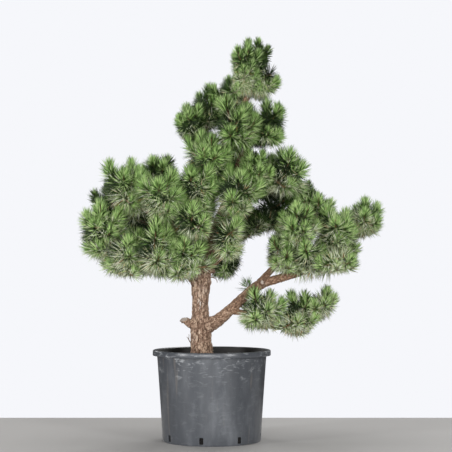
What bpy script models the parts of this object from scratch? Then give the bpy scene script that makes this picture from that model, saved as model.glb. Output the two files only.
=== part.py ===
"""A mugo pine pre-bonsai in its nursery pot, modelled in metres with +Z up.

The origin is the centre of the pot's flat underside. The photographed side faces -Y.
Each limb is one tapering tube that grows out of the limb that carries it. Each mass of
foliage is one stem with short twigs, and every twig ends in a spray of needles.
"""

import math
import random

import bmesh
import bpy
from mathutils import Vector
from mathutils.bvhtree import BVHTree

# The pot: a round nursery container of about 15 litres
RIM_RADIUS = 0.160
SHOULDER_RADIUS = 0.1485
BASE_RADIUS = 0.133
POT_HEIGHT = 0.245
POT_WALL = 0.0026
FLOOR_THICKNESS = 0.0035
LIP_DROP = 0.0145
POT_SIDES = 36
SLOT_COUNT = 8
SLOT_WIDTH = 0.0105
SLOT_BOTTOM = 0.005
SLOT_TOP = 0.0225
FIRST_SLOT_TURN = math.radians(-101.3)

# The growing mix and the clearances between neighbours
SOIL_LEVEL = 0.212
CLEARANCE = 0.0003

# The needles and their sprays: sizes for a mass whose mean radius is MODEL_RADIUS
MODEL_RADIUS = 0.060
NEEDLE = 0.047
BRUSH = 0.030
SPRAY_SPACING = 0.0592
TEETH = 4
# For each ring: its share of the core, the lean of its needles and hollows, hollow length
RINGS = (
    (0.30, math.radians(64), math.radians(58), 0.52),
    (0.92, math.radians(36), math.radians(30), 0.62),
)
FRONT_SHARE = 0.8
SHORTEST_TOOTH = 0.007
SHORTEST_HOLLOW = 0.0018
SHORTEST_CORE = 0.006
SHORTEST_FRONT = 0.012
TOOTH_STEP = 0.002
FOOT_DISTANCE = 0.011
TRIAL_DIRECTIONS = 110
SPIN_TRIES = 4
LOWEST_DIRECTION = -0.93
HEART_DROP = 0.22
CELL_MARGIN = 0.0006
SPRAY_MARGIN = 0.0003
OUTLINE_SLACK = 1.07
LIMB_MARGIN = 0.0012
TWIG_RADIUS = 0.0021

UP = Vector((0, 0, 1))
GOLDEN_ANGLE = math.pi * (3 - math.sqrt(5))

# Each limb: the limb that carries it, its path, its radius at both ends, and swellings
# as (share of the length, extra radius, half width as a share of the length).
LIMBS = {
    "trunk": {
        "on": None,
        "path": [(-0.026, 0.0, SOIL_LEVEL), (-0.030, 0.0, 0.298), (-0.031, 0.0, 0.352),
                 (-0.030, 0.0, 0.408), (-0.025, 0.003, 0.452), (0.000, 0.010, 0.537),
                 (0.027, 0.020, 0.612), (0.056, 0.020, 0.684), (0.079, 0.012, 0.766),
                 (0.086, 0.002, 0.866), (0.093, 0.0, 0.968)],
        "radius": (0.0262, 0.0060),
        "swell": [(0.0, 0.0068, 0.09), (0.115, 0.0035, 0.045), (0.285, 0.0068, 0.055),
                  (0.40, -0.0020, 0.06)],
        "points": 23,
        "resolution": 3,
    },
    "right_bough": {
        "on": "trunk",
        "path": [(-0.030, 0.0, 0.300), (0.017, -0.006, 0.325), (0.055, -0.012, 0.358),
                 (0.091, -0.018, 0.391), (0.130, -0.022, 0.421), (0.175, -0.028, 0.436),
                 (0.230, -0.036, 0.452), (0.279, -0.042, 0.470)],
        "radius": (0.0172, 0.0100),
        "swell": [(0.06, 0.0045, 0.11), (0.52, 0.0022, 0.07)],
        "points": 14,
        "resolution": 3,
    },
    "right_fork": {
        "on": "right_bough",
        "path": [(0.128, -0.021, 0.426), (0.153, -0.012, 0.452), (0.172, -0.004, 0.474),
                 (0.196, 0.012, 0.512), (0.222, 0.030, 0.556)],
        "radius": (0.0108, 0.0052),
        "points": 10,
        "resolution": 2,
    },
    "right_riser": {
        "on": "right_bough",
        "path": [(0.188, -0.030, 0.444), (0.226, -0.002, 0.473), (0.266, 0.022, 0.506),
                 (0.302, 0.034, 0.540), (0.338, 0.038, 0.570)],
        "radius": (0.0080, 0.0050),
        "points": 9,
    },
    "low_bough": {
        "on": "right_bough",
        "path": [(0.048, -0.010, 0.352), (0.070, -0.018, 0.347), (0.094, -0.024, 0.347),
                 (0.112, -0.028, 0.351)],
        "radius": (0.0092, 0.0068),
        "points": 7,
        "resolution": 2,
    },
    "low_twig": {
        "on": "low_bough",
        "path": [(0.094, -0.024, 0.346), (0.124, 0.006, 0.320), (0.162, 0.028, 0.303),
                 (0.208, 0.036, 0.303), (0.248, 0.028, 0.322)],
        "radius": (0.0050, 0.0038),
        "points": 10,
    },
    "left_bough": {
        "on": "trunk",
        "path": [(-0.026, 0.002, 0.436), (-0.056, -0.020, 0.474), (-0.081, -0.045, 0.515),
                 (-0.093, -0.056, 0.560), (-0.121, -0.062, 0.592), (-0.160, -0.060, 0.612)],
        "radius": (0.0158, 0.0068),
        "swell": [(0.0, 0.003, 0.15)],
        "points": 11,
        "resolution": 3,
    },
    "left_low_bough": {
        "on": "left_bough",
        "path": [(-0.074, -0.038, 0.502), (-0.116, -0.050, 0.487), (-0.160, -0.040, 0.484),
                 (-0.214, -0.020, 0.502)],
        "radius": (0.0082, 0.0058),
        "points": 10,
        "resolution": 2,
    },
    "left_back_bough": {
        "on": "trunk",
        "path": [(-0.018, 0.004, 0.472), (-0.058, 0.050, 0.505), (-0.112, 0.088, 0.552),
                 (-0.176, 0.106, 0.588)],
        "radius": (0.0110, 0.0062),
        "points": 8,
    },
    "centre_bough": {
        "on": "trunk",
        "path": [(-0.008, 0.008, 0.510), (-0.022, -0.036, 0.540), (-0.040, -0.078, 0.586)],
        "radius": (0.0092, 0.0056),
        "points": 8,
    },
    "crown_bough": {
        "on": "trunk",
        "path": [(0.010, 0.014, 0.566), (0.030, -0.032, 0.590), (0.050, -0.070, 0.625)],
        "radius": (0.0088, 0.0056),
        "points": 8,
    },
    "back_bough": {
        "on": "trunk",
        "path": [(-0.022, 0.004, 0.458), (0.022, 0.054, 0.494), (0.078, 0.092, 0.546),
                 (0.142, 0.112, 0.582), (0.196, 0.124, 0.606), (0.232, 0.130, 0.630)],
        "radius": (0.0106, 0.0056),
        "points": 9,
        "resolution": 2,
    },
    "mid_bough": {
        "on": "trunk",
        "path": [(0.060, 0.019, 0.696), (0.104, -0.006, 0.694), (0.152, -0.020, 0.704)],
        "radius": (0.0080, 0.0052),
        "points": 8,
    },
    "tier_left_bough": {
        "on": "trunk",
        "path": [(0.082, 0.008, 0.790), (0.040, 0.006, 0.812), (-0.008, 0.004, 0.818),
                 (-0.040, 0.002, 0.836)],
        "radius": (0.0068, 0.0044),
        "points": 8,
    },
}

# Each mass: the limb that carries it, where along that limb, its centre and half sizes
MASSES = {
    "left_tip": ("left_low_bough", 1.0, (-0.303, -0.040, 0.569), (0.062, 0.062, 0.072)),
    "left_low": ("left_low_bough", 0.68, (-0.234, -0.068, 0.511), (0.066, 0.062, 0.062)),
    "left_back": ("left_back_bough", 1.0, (-0.296, 0.100, 0.657), (0.054, 0.060, 0.050)),
    "left_top": ("left_bough", 1.0, (-0.242, -0.050, 0.696), (0.068, 0.062, 0.079)),
    "left_front_top": ("left_bough", 0.86, (-0.138, -0.120, 0.670), (0.064, 0.060, 0.075)),
    "left_front_low": ("left_low_bough", 0.46, (-0.152, -0.128, 0.517), (0.060, 0.062, 0.075)),
    "left_inner_low": ("left_bough", 0.21, (-0.078, -0.100, 0.500), (0.058, 0.058, 0.063)),
    "centre_top": ("centre_bough", 1.0, (-0.053, -0.090, 0.689), (0.051, 0.060, 0.069)),
    "centre_front": ("centre_bough", 0.80, (-0.055, -0.150, 0.596), (0.054, 0.060, 0.056)),
    "crown_front": ("crown_bough", 1.0, (0.062, -0.110, 0.672), (0.064, 0.060, 0.065)),
    "crown_front_low": ("crown_bough", 0.62, (0.036, -0.128, 0.562), (0.060, 0.060, 0.079)),
    "left_back_top": ("left_back_bough", 0.62, (-0.146, 0.070, 0.731), (0.062, 0.070, 0.052)),
    "back_left": ("left_back_bough", 0.84, (-0.185, 0.150, 0.597), (0.083, 0.080, 0.080)),
    "back_centre": ("left_back_bough", 0.40, (-0.064, 0.160, 0.617), (0.080, 0.080, 0.084)),
    "mid_front": ("trunk", 0.585, (-0.013, -0.050, 0.756), (0.057, 0.060, 0.073)),
    "mid_back": ("trunk", 0.56, (0.027, 0.120, 0.748), (0.067, 0.070, 0.067)),
    "tier_left": ("tier_left_bough", 1.0, (-0.060, 0.000, 0.863), (0.043, 0.052, 0.052)),
    "tier_left_back": ("tier_left_bough", 0.66, (-0.021, 0.040, 0.911), (0.043, 0.052, 0.064)),
    "tier_top": ("trunk", 0.860, (0.044, 0.030, 0.949), (0.047, 0.052, 0.047)),
    "tier_front": ("trunk", 0.825, (0.055, -0.080, 0.852), (0.060, 0.060, 0.078)),
    "tier_right": ("trunk", 0.800, (0.153, -0.022, 0.866), (0.061, 0.060, 0.057)),
    "tier_back": ("trunk", 0.79, (0.092, 0.100, 0.886), (0.071, 0.062, 0.067)),
    "top_front": ("trunk", 0.955, (0.088, -0.030, 1.031), (0.038, 0.042, 0.057)),
    "top_tip": ("trunk", 1.0, (0.122, 0.020, 1.060), (0.046, 0.042, 0.040)),
    "top_right": ("trunk", 0.925, (0.157, 0.012, 1.006), (0.046, 0.046, 0.050)),
    "mid_right_inner": ("mid_bough", 0.72, (0.119, -0.070, 0.725), (0.037, 0.050, 0.051)),
    "mid_right": ("mid_bough", 1.0, (0.197, -0.030, 0.733), (0.070, 0.060, 0.069)),
    "mid_right_back": ("mid_bough", 0.45, (0.152, 0.104, 0.732), (0.068, 0.062, 0.066)),
    "back_dark": ("back_bough", 0.52, (0.158, 0.098, 0.637), (0.070, 0.062, 0.061)),
    "back_middle": ("back_bough", 0.47, (0.088, 0.104, 0.602), (0.042, 0.050, 0.046)),
    "back_low": ("back_bough", 0.42, (0.030, 0.094, 0.503), (0.048, 0.060, 0.067)),
    "right_front": ("right_fork", 0.80, (0.226, -0.100, 0.588), (0.051, 0.060, 0.062)),
    "right_inner": ("right_fork", 0.52, (0.190, -0.044, 0.518), (0.048, 0.058, 0.060)),
    "right_top": ("right_fork", 1.0, (0.288, 0.020, 0.638), (0.049, 0.060, 0.055)),
    "right_top_back": ("back_bough", 1.0, (0.261, 0.130, 0.669), (0.051, 0.052, 0.045)),
    "right_centre": ("right_riser", 0.70, (0.327, -0.070, 0.573), (0.055, 0.060, 0.063)),
    "right_tip": ("right_riser", 1.0, (0.418, 0.004, 0.611), (0.061, 0.060, 0.050)),
    "right_low": ("right_bough", 1.0, (0.336, -0.100, 0.503), (0.068, 0.062, 0.044)),
    "right_low_inner": ("right_bough", 0.88, (0.258, -0.084, 0.512), (0.052, 0.060, 0.056)),
    "right_back": ("right_riser", 0.86, (0.355, 0.112, 0.566), (0.080, 0.070, 0.074)),
    "low_inner": ("low_bough", 1.0, (0.126, -0.030, 0.361), (0.064, 0.062, 0.058)),
    "low_middle": ("low_twig", 0.45, (0.234, -0.010, 0.349), (0.047, 0.062, 0.063)),
    "low_tip": ("low_twig", 1.0, (0.292, -0.008, 0.381), (0.054, 0.056, 0.050)),
}

BARK = ("bark", (0.36, 0.24, 0.16), 0.9)
FOLIAGE = ("needles", (0.16, 0.27, 0.11), 0.6)
PLASTIC = ("pot_plastic", (0.10, 0.11, 0.12), 0.45)
MIX = ("growing_mix", (0.07, 0.05, 0.035), 0.95)


def clear_scene():
    """Remove every object, and the meshes left behind."""
    for leftover in list(bpy.data.objects):
        bpy.data.objects.remove(leftover)
    for mesh in list(bpy.data.meshes):
        bpy.data.meshes.remove(mesh)


def new_collection(name):
    """A collection linked to the scene."""
    made = bpy.data.collections.new(name)
    bpy.context.scene.collection.children.link(made)
    return made


def material(name, colour, roughness):
    """One Principled BSDF material, made once for each name."""
    found = bpy.data.materials.get(name)
    if found:
        return found
    made = bpy.data.materials.new(name)
    made.use_nodes = True
    shader = made.node_tree.nodes["Principled BSDF"]
    shader.inputs["Base Color"].default_value = (*colour, 1)
    shader.inputs["Roughness"].default_value = roughness
    return made


def mesh_object(name, mesh, collection):
    """A new object that holds the mesh."""
    made = bpy.data.objects.new(name, mesh)
    collection.objects.link(made)
    return made


def as_mesh(source, name, collection):
    """The evaluated shape of an object as a mesh object with welded seams."""
    bpy.context.view_layer.update()
    graph = bpy.context.evaluated_depsgraph_get()
    mesh = bpy.data.meshes.new_from_object(source.evaluated_get(graph))
    mesh.name = name
    edit = bmesh.new()
    edit.from_mesh(mesh)
    bmesh.ops.remove_doubles(edit, verts=edit.verts, dist=0.00001)
    bmesh.ops.recalc_face_normals(edit, faces=edit.faces)
    edit.to_mesh(mesh)
    edit.free()
    matrix = source.matrix_world.copy()
    bpy.data.objects.remove(source)
    made = mesh_object(name, mesh, collection)
    made.matrix_world = matrix
    return made


def spline_point(points, share):
    """A point on the smooth curve through the points, at a share of their number."""
    place = min(max(share, 0), 1) * (len(points) - 1)
    first = min(int(place), len(points) - 2)
    t = place - first
    before = points[max(first - 1, 0)]
    start = points[first]
    end = points[first + 1]
    after = points[min(first + 2, len(points) - 1)]
    a = 2 * start
    b = end - before
    c = 2 * before - 5 * start + 4 * end - after
    d = 3 * start - before - 3 * end + after
    return (a + b * t + c * t * t + d * t * t * t) / 2


def even_path(points, count):
    """Count points, evenly spaced by length, on the smooth curve through the points."""
    points = [Vector(p) for p in points]
    fine = [spline_point(points, k / 200) for k in range(201)]
    along = [0.0]
    for a, b in zip(fine, fine[1:]):
        along.append(along[-1] + (b - a).length)
    path = []
    place = 0
    for k in range(count):
        want = along[-1] * k / (count - 1)
        while place < len(along) - 2 and along[place + 1] < want:
            place += 1
        step = along[place + 1] - along[place]
        t = (want - along[place]) / step if step else 0
        path.append(fine[place].lerp(fine[place + 1], min(max(t, 0), 1)))
    return path


def limb_radius(limb, share):
    """The radius at a share of the limb's length, with its swellings."""
    start, end = limb["radius"]
    radius = start + (end - start) * share
    for place, extra, width in limb.get("swell", ()):
        radius += extra * math.exp(-(((share - place) / width) ** 2))
    return radius


def limb_shape(limb):
    """The points and radii of one limb."""
    count = limb["points"]
    path = even_path(limb["path"], count)
    if limb["on"] is None:
        path[1].xy = path[0].xy
    return path, [limb_radius(limb, k / (count - 1)) for k in range(count)]


def place_on(shape, share):
    """The point, direction and radius at a share of a limb's length."""
    path, radii = shape
    place = min(max(share, 0), 1) * (len(path) - 1)
    first = min(int(place), len(path) - 2)
    t = place - first
    point = path[first].lerp(path[first + 1], t)
    direction = (path[first + 1] - path[first]).normalized()
    return point, direction, radii[first] * (1 - t) + radii[first + 1] * t


def tube(name, path, radii, resolution, collection, grow=0.0):
    """A tapering tube with filled ends, from a curve with a bevel."""
    curve = bpy.data.curves.new(name, "CURVE")
    curve.dimensions = "3D"
    curve.bevel_depth = 1.0
    curve.bevel_resolution = resolution
    curve.use_fill_caps = True
    spline = curve.splines.new("POLY")
    spline.points.add(len(path) - 1)
    for point, place, radius in zip(spline.points, path, radii):
        point.co = (*place, 1)
        point.radius = radius + grow
    made = bpy.data.objects.new(name, curve)
    collection.objects.link(made)
    return as_mesh(made, name, collection)


def hide(cutter):
    """Mark a helper, so that it is no part of the plant."""
    cutter.hide_render = True
    cutter.display_type = "WIRE"
    return cutter


def apply_boolean(target, operation, other, solver="EXACT"):
    """Apply one Boolean with an object or a collection, and drop loose scraps."""
    change = target.modifiers.new(operation.lower(), "BOOLEAN")
    change.operation = operation
    change.solver = solver
    if isinstance(other, bpy.types.Collection):
        change.operand_type = "COLLECTION"
        change.collection = other
    else:
        change.object = other
    bpy.context.view_layer.update()
    graph = bpy.context.evaluated_depsgraph_get()
    mesh = bpy.data.meshes.new_from_object(target.evaluated_get(graph))
    target.modifiers.remove(change)
    target.data = mesh
    keep_largest_body(mesh)


def is_closed(mesh):
    """Whether every edge of the welded mesh has exactly two faces."""
    edit = bmesh.new()
    edit.from_mesh(mesh)
    bmesh.ops.remove_doubles(edit, verts=edit.verts, dist=0.0000003)
    closed = all(len(edge.link_faces) == 2 for edge in edit.edges)
    edit.free()
    return closed


def keep_largest_body(mesh):
    """Delete every loose body but the one with the most faces."""
    edit = bmesh.new()
    edit.from_mesh(mesh)
    unseen = set(edit.verts)
    bodies = []
    while unseen:
        start = unseen.pop()
        body = {start}
        edge = [start]
        while edge:
            vertex = edge.pop()
            for link in vertex.link_edges:
                other = link.other_vert(vertex)
                if other in unseen:
                    unseen.remove(other)
                    body.add(other)
                    edge.append(other)
        bodies.append(body)
    bodies.sort(key=len)
    for scrap in bodies[:-1]:
        bmesh.ops.delete(edit, geom=list(scrap), context="VERTS")
    edit.to_mesh(mesh)
    edit.free()


def finish(made, finish_of):
    """Give the object its material and smooth its round faces."""
    made.data.materials.clear()
    made.data.materials.append(material(*finish_of))
    made.data.shade_smooth()
    made.data.set_sharp_from_angle(angle=math.radians(40))


def turned(name, profile, collection):
    """A turned solid: the profile of (radius, height) spun about Z by a Screw."""
    mesh = bpy.data.meshes.new(name)
    edit = bmesh.new()
    corners = [edit.verts.new((radius, 0, height)) for radius, height in profile]
    for a, b in zip(corners, corners[1:]):
        edit.edges.new((a, b))
    edit.to_mesh(mesh)
    edit.free()
    source = mesh_object(name + "_profile", mesh, collection)
    screw = source.modifiers.new("turn", "SCREW")
    screw.axis = "Z"
    screw.angle = math.tau
    screw.steps = screw.render_steps = POT_SIDES
    screw.use_merge_vertices = True
    screw.merge_threshold = 0.00001
    return as_mesh(source, name, collection)


def make_pot(parts, helpers):
    """The pot: tapered wall, flat floor, turned-down rim and slots round the foot."""
    top = POT_HEIGHT
    lip_foot = POT_HEIGHT - LIP_DROP
    profile = [
        (0, FLOOR_THICKNESS),
        (BASE_RADIUS - POT_WALL, FLOOR_THICKNESS),
        (SHOULDER_RADIUS - POT_WALL, top - 0.004),
        (SHOULDER_RADIUS, top),
        (RIM_RADIUS - 0.003, top),
        (RIM_RADIUS, top - 0.003),
        (RIM_RADIUS, lip_foot),
        (RIM_RADIUS - POT_WALL, lip_foot),
        (RIM_RADIUS - POT_WALL, top - POT_WALL - 0.001),
        (SHOULDER_RADIUS + 0.0005, top - POT_WALL - 0.001),
        (SHOULDER_RADIUS, lip_foot),
        (BASE_RADIUS, 0.005),
        (BASE_RADIUS - 0.004, 0),
        (0, 0),
    ]
    pot = turned("pot", profile, parts)
    for k in range(SLOT_COUNT):
        turn = FIRST_SLOT_TURN + k * math.tau / SLOT_COUNT
        edit = bmesh.new()
        bmesh.ops.create_cube(edit, size=1)
        size = (0.02, SLOT_WIDTH, SLOT_TOP - SLOT_BOTTOM)
        bmesh.ops.scale(edit, verts=edit.verts, vec=size)
        mesh = bpy.data.meshes.new("slot")
        edit.to_mesh(mesh)
        edit.free()
        slot = hide(mesh_object(f"slot_{k}", mesh, helpers))
        middle = (SLOT_BOTTOM + SLOT_TOP) / 2
        slot.location = (BASE_RADIUS * math.cos(turn), BASE_RADIUS * math.sin(turn), middle)
        slot.rotation_euler = (0, 0, turn)
        apply_boolean(pot, "DIFFERENCE", slot)
    finish(pot, PLASTIC)


def make_soil(parts):
    """The growing mix: it fills the pot to a flat top that the trunk stands on."""
    bottom = FLOOR_THICKNESS + CLEARANCE
    slope = (SHOULDER_RADIUS - BASE_RADIUS) / (POT_HEIGHT - 0.004 - FLOOR_THICKNESS)
    inside = BASE_RADIUS - POT_WALL - 2 * CLEARANCE
    surface = SOIL_LEVEL - CLEARANCE
    wide = inside + slope * (surface - 0.004 - bottom)
    profile = [
        (0, surface),
        (wide - 0.012, surface),
        (wide, surface - 0.004),
        (inside, bottom),
        (0, bottom),
    ]
    finish(turned("soil", profile, parts), MIX)


def make_stub(trunk, helpers):
    """The broken branch stub on the trunk's left side, fused to it."""
    path = [Vector((-0.030, 0, 0.314)), Vector((-0.060, -0.002, 0.3225)),
            Vector((-0.074, -0.003, 0.3225)), Vector((-0.085, -0.003, 0.3195))]
    stub = tube("stub", path, [0.016, 0.0125, 0.0085, 0.0032], 1, helpers)
    apply_boolean(trunk, "UNION", hide(stub))


def make_limbs(shapes, parts, helpers):
    """Every limb, each cut clear of the one that carries it, and the grown cutters."""
    cutters = {}
    for name, limb in LIMBS.items():
        path, radii = shapes[name]
        resolution = limb.get("resolution", 1)
        cutter = tube(name + "_room", path, radii, resolution, helpers, CLEARANCE)
        cutters[name] = hide(cutter)
        made = tube(name, path, radii, resolution, parts)
        if name == "trunk":
            make_stub(made, helpers)
        if limb["on"]:
            apply_boolean(made, "DIFFERENCE", cutters[limb["on"]])
        finish(made, BARK)
    return cutters


def mean_radius(size):
    """The radius of the ball that stands for a mass where masses share out space."""
    return sum(size) / 3


def mass_scale(size):
    """How large the sprays of a mass are, next to those of a full-size mass."""
    return min(mean_radius(size) / MODEL_RADIUS, 1.1)


def cell_planes(name):
    """The planes that part one mass from each near neighbour, as (normal, limit)."""
    _, _, centre, size = MASSES[name]
    centre = Vector(centre)
    planes = []
    for other, (_, _, far_centre, far_size) in MASSES.items():
        apart = Vector(far_centre) - centre
        if other == name or apart.length > 0.30:
            continue
        own = mean_radius(size)
        far = mean_radius(far_size)
        reach = (apart.length_squared + own * own - far * far) / (2 * apart.length)
        normal = apart.normalized()
        planes.append((normal, normal.dot(centre) + reach - CELL_MARGIN))
    return planes


def in_space(point, centre, size, planes, slack=OUTLINE_SLACK):
    """Whether a point is in the mass's outline and on its own side of every plane."""
    away = point - centre
    inside = sum((away[k] / size[k]) ** 2 for k in range(3))
    return inside <= slack * slack and all(n.dot(point) <= limit for n, limit in planes)


def stem_shape(name, shapes):
    """The path and radii of a mass's one stem, from its limb to the mass's heart."""
    on, share, centre, size = MASSES[name]
    start, along, radius = place_on(shapes[on], share)
    heart = Vector(centre) - UP * size[2] * HEART_DROP
    count = 5
    if share == 1.0:
        start = start + along * CLEARANCE
        first = start + along * 0.012
        wide = radius * 0.92
    else:
        first = start + (heart - start) * 0.35 + along * 0.010
        wide = min(radius * 0.72, 0.0052)
    second = heart - UP * 0.010 - (heart - start).normalized() * 0.010
    path = even_path([start, first, second, heart], count)
    if share == 1.0:
        path[1] = start + along * (path[1] - path[0]).length
    thin = TWIG_RADIUS * 1.25
    return path, [wide + (thin - wide) * k / (count - 1) for k in range(count)]


def side_frame(axis):
    """Two directions square to the axis."""
    side = axis.cross(Vector((0.31, -0.87, 0.38)))
    side.normalize()
    return side, axis.cross(side)


def drawn_in(core, tip, shortest, space, tree):
    """The tip, drawn in towards the core until it is in the space, or None."""
    direction = (tip - core).normalized()
    length = (tip - core).length
    hit = tree.ray_cast(core, direction, length)
    if hit[0] is not None:
        length = hit[3] - 0.001
    while length >= shortest:
        end = core + direction * length
        if in_space(end, *space):
            return end
        length -= TOOTH_STEP
    return None


def fit_spray(place, space, tree):
    """The corners of a twig with its spray, needles kept to the space, or None.

    The order: the twig's start, the ring at its foot, then two rings of needle tips,
    each tip followed by the hollow beside it, and the front.
    """
    start, foot, bud, front_length, turn = place
    axis = (bud - foot).normalized()
    side, other = side_frame(axis)
    needle = NEEDLE * mass_scale(space[1])
    if not in_space(foot, *space):
        return None
    corners = [start]
    for k in range(TEETH):
        angle = turn + (k + 0.5) * math.tau / TEETH
        out = side * math.cos(angle) + other * math.sin(angle)
        corners.append(foot + out * TWIG_RADIUS)
    for ring, (share, lean, hollow_lean, hollow_share) in enumerate(RINGS):
        core = foot.lerp(bud, share)
        for k in range(TEETH):
            angle = turn + (k + 0.5 * ring) * math.tau / TEETH
            out = side * math.cos(angle) + other * math.sin(angle)
            tip = core + (axis * math.cos(lean) + out * math.sin(lean)) * needle
            tip = drawn_in(core, tip, SHORTEST_TOOTH, space, tree)
            angle += math.pi / TEETH
            out = side * math.cos(angle) + other * math.sin(angle)
            hollow = axis * math.cos(hollow_lean) + out * math.sin(hollow_lean)
            hollow = core + hollow * needle * hollow_share
            hollow = drawn_in(core, hollow, SHORTEST_HOLLOW, space, tree)
            if tip is None or hollow is None:
                return None
            corners.extend((tip, hollow))
    front = drawn_in(bud, bud + axis * front_length, needle * 0.25, space, tree)
    if front is None:
        return None
    corners.append(front)
    return corners


def spray_faces():
    """The triangles of a twig with its spray, for the corners of fit_spray."""
    count = 2 * TEETH
    ring = [1 + k for k in range(TEETH)]
    rear = [1 + TEETH + k for k in range(count)]
    fore = [1 + TEETH + count + k for k in range(count)]
    front = 1 + TEETH + 2 * count
    faces = []
    for k in range(TEETH):
        last = (k - 1) % TEETH
        faces.append((0, ring[k], ring[last]))
        faces.append((ring[last], ring[k], rear[2 * k]))
        faces.append((ring[k], rear[2 * k + 1], rear[2 * k]))
        faces.append((ring[k], rear[(2 * k + 2) % count], rear[2 * k + 1]))
        tip, hollow = rear[2 * k], rear[2 * k + 1]
        next_tip = rear[(2 * k + 2) % count]
        own_hollow, own_tip = fore[(2 * k - 1) % count], fore[2 * k]
        next_hollow = fore[2 * k + 1]
        faces.append((tip, hollow, own_hollow))
        faces.append((hollow, own_tip, own_hollow))
        faces.append((hollow, next_hollow, own_tip))
        faces.append((hollow, next_tip, next_hollow))
    for k in range(count):
        faces.append((front, fore[k], fore[(k + 1) % count]))
    return faces


def tube_faces(path, radii, grow, sides=8):
    """The corners and faces of a plain tube round a path, for clearance tests."""
    corners = []
    faces = []
    for k, (point, radius) in enumerate(zip(path, radii)):
        along = path[min(k + 1, len(path) - 1)] - path[max(k - 1, 0)]
        side, other = side_frame(along.normalized())
        for s in range(sides):
            angle = math.tau * s / sides
            out = side * math.cos(angle) + other * math.sin(angle)
            corners.append(point + out * (radius + grow))
    for k in range(len(path) - 1):
        for s in range(sides):
            n = (s + 1) % sides
            faces.append((k * sides + s, k * sides + n, (k + 1) * sides + n, (k + 1) * sides + s))
    return corners, faces


def room_tree(tubes):
    """One search tree of the tubes that foliage has to keep clear of."""
    corners = []
    faces = []
    for path, radii in tubes:
        more, more_faces = tube_faces(path, radii, LIMB_MARGIN)
        faces.extend(tuple(i + len(corners) for i in face) for face in more_faces)
        corners.extend(more)
    return BVHTree.FromPolygons(corners, faces)


def twig_start(stem, foot, tree):
    """Where a spray's twig leaves the stem, on the stretch that is off the limbs."""
    path, _ = stem
    fine = [path[k].lerp(path[k + 1], s / 4) for k in range(len(path) - 1) for s in range(4)]
    free = [point for point in fine if tree.find_nearest(point, 0.003)[0] is None]
    if not free:
        return None
    nearest = min(range(len(free)), key=lambda k: (free[k] - foot).length)
    return free[max(nearest - 1, 0)]


def spray_planes(number, heart, directions):
    """The planes through the heart that part one spray from the others of its mass."""
    own = directions[number]
    planes = []
    for far in directions:
        if far is not own:
            normal = (far - own).normalized()
            planes.append((normal, normal.dot(heart) - SPRAY_MARGIN))
    return planes


def is_clear(corners, tree):
    """Whether a closed twig with its spray is clear of the limbs."""
    return not BVHTree.FromPolygons(corners, spray_faces()).overlap(tree)


def trial_tips(name):
    """Points over a mass's outline by a seeded rule, with a core length and a turn."""
    _, _, centre, size = MASSES[name]
    rule = random.Random(name)
    turn = rule.uniform(0, math.tau)
    trials = []
    for k in range(TRIAL_DIRECTIONS):
        z = 1 - 2 * (k + 0.5) / TRIAL_DIRECTIONS
        angle = turn + k * GOLDEN_ANGLE
        flat = math.sqrt(1 - z * z)
        direction = (flat * math.cos(angle), flat * math.sin(angle), z)
        shift = rule.uniform(0.94, 1.0)
        tip = Vector(centre[i] + direction[i] * size[i] * shift for i in range(3))
        length = BRUSH * mass_scale(size) * rule.uniform(0.85, 1.15)
        spin = rule.uniform(0, math.tau)
        if z > LOWEST_DIRECTION:
            trials.append((tip, length, spin))
    return trials


def grow_mass(name, stem, tree, tips_taken):
    """The sprays of one mass, each as the corners of its twig and needles."""
    _, _, centre, size = MASSES[name]
    space = (Vector(centre), size, cell_planes(name))
    heart = stem[0][-1]
    scale = mass_scale(size)
    foot_distance = FOOT_DISTANCE * scale
    places = []
    directions = []
    trials = trial_tips(name)
    while trials:
        room = [min(((tip - far).length for far in tips_taken), default=1) for tip, _, _ in trials]
        widest = max(room)
        if widest < SPRAY_SPACING * scale:
            break
        tip, length, spin = trials.pop(room.index(widest))
        direction = (tip - heart).normalized()
        front_length = NEEDLE * scale * FRONT_SHARE
        reach = max((tip - heart).length - front_length, foot_distance + SHORTEST_CORE)
        front_length = (tip - heart).length - reach
        if front_length < SHORTEST_FRONT:
            continue
        bud = heart + direction * reach
        foot = heart + direction * max(foot_distance, reach - length)
        start = twig_start(stem, foot, tree)
        if start is None:
            continue
        for attempt in range(SPIN_TRIES):
            place = (start, foot, bud, front_length, spin + attempt * math.tau / TEETH / SPIN_TRIES)
            corners = fit_spray(place, space, tree)
            if corners and is_clear(corners, tree):
                places.append(place)
                directions.append(direction)
                tips_taken.append(tip)
                break
    grown = []
    for number, place in enumerate(places):
        planes = space[2] + spray_planes(number, heart, directions)
        for attempt in range(SPIN_TRIES):
            spun = place[-1] + attempt * math.tau / TEETH / SPIN_TRIES
            corners = fit_spray((*place[:-1], spun), (*space[:2], planes), tree)
            if corners and is_clear(corners, tree):
                grown.append(corners)
                break
    return grown


def spray_object(corners, number, collection):
    """A closed twig that ends in a slim core with two rings of needles."""
    edit = bmesh.new()
    made = [edit.verts.new(corner) for corner in corners]
    for face in spray_faces():
        edit.faces.new([made[i] for i in face])
    bmesh.ops.recalc_face_normals(edit, faces=edit.faces)
    mesh = bpy.data.meshes.new("spray")
    edit.to_mesh(mesh)
    edit.free()
    return mesh_object(f"spray_{number}", mesh, collection)


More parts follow.
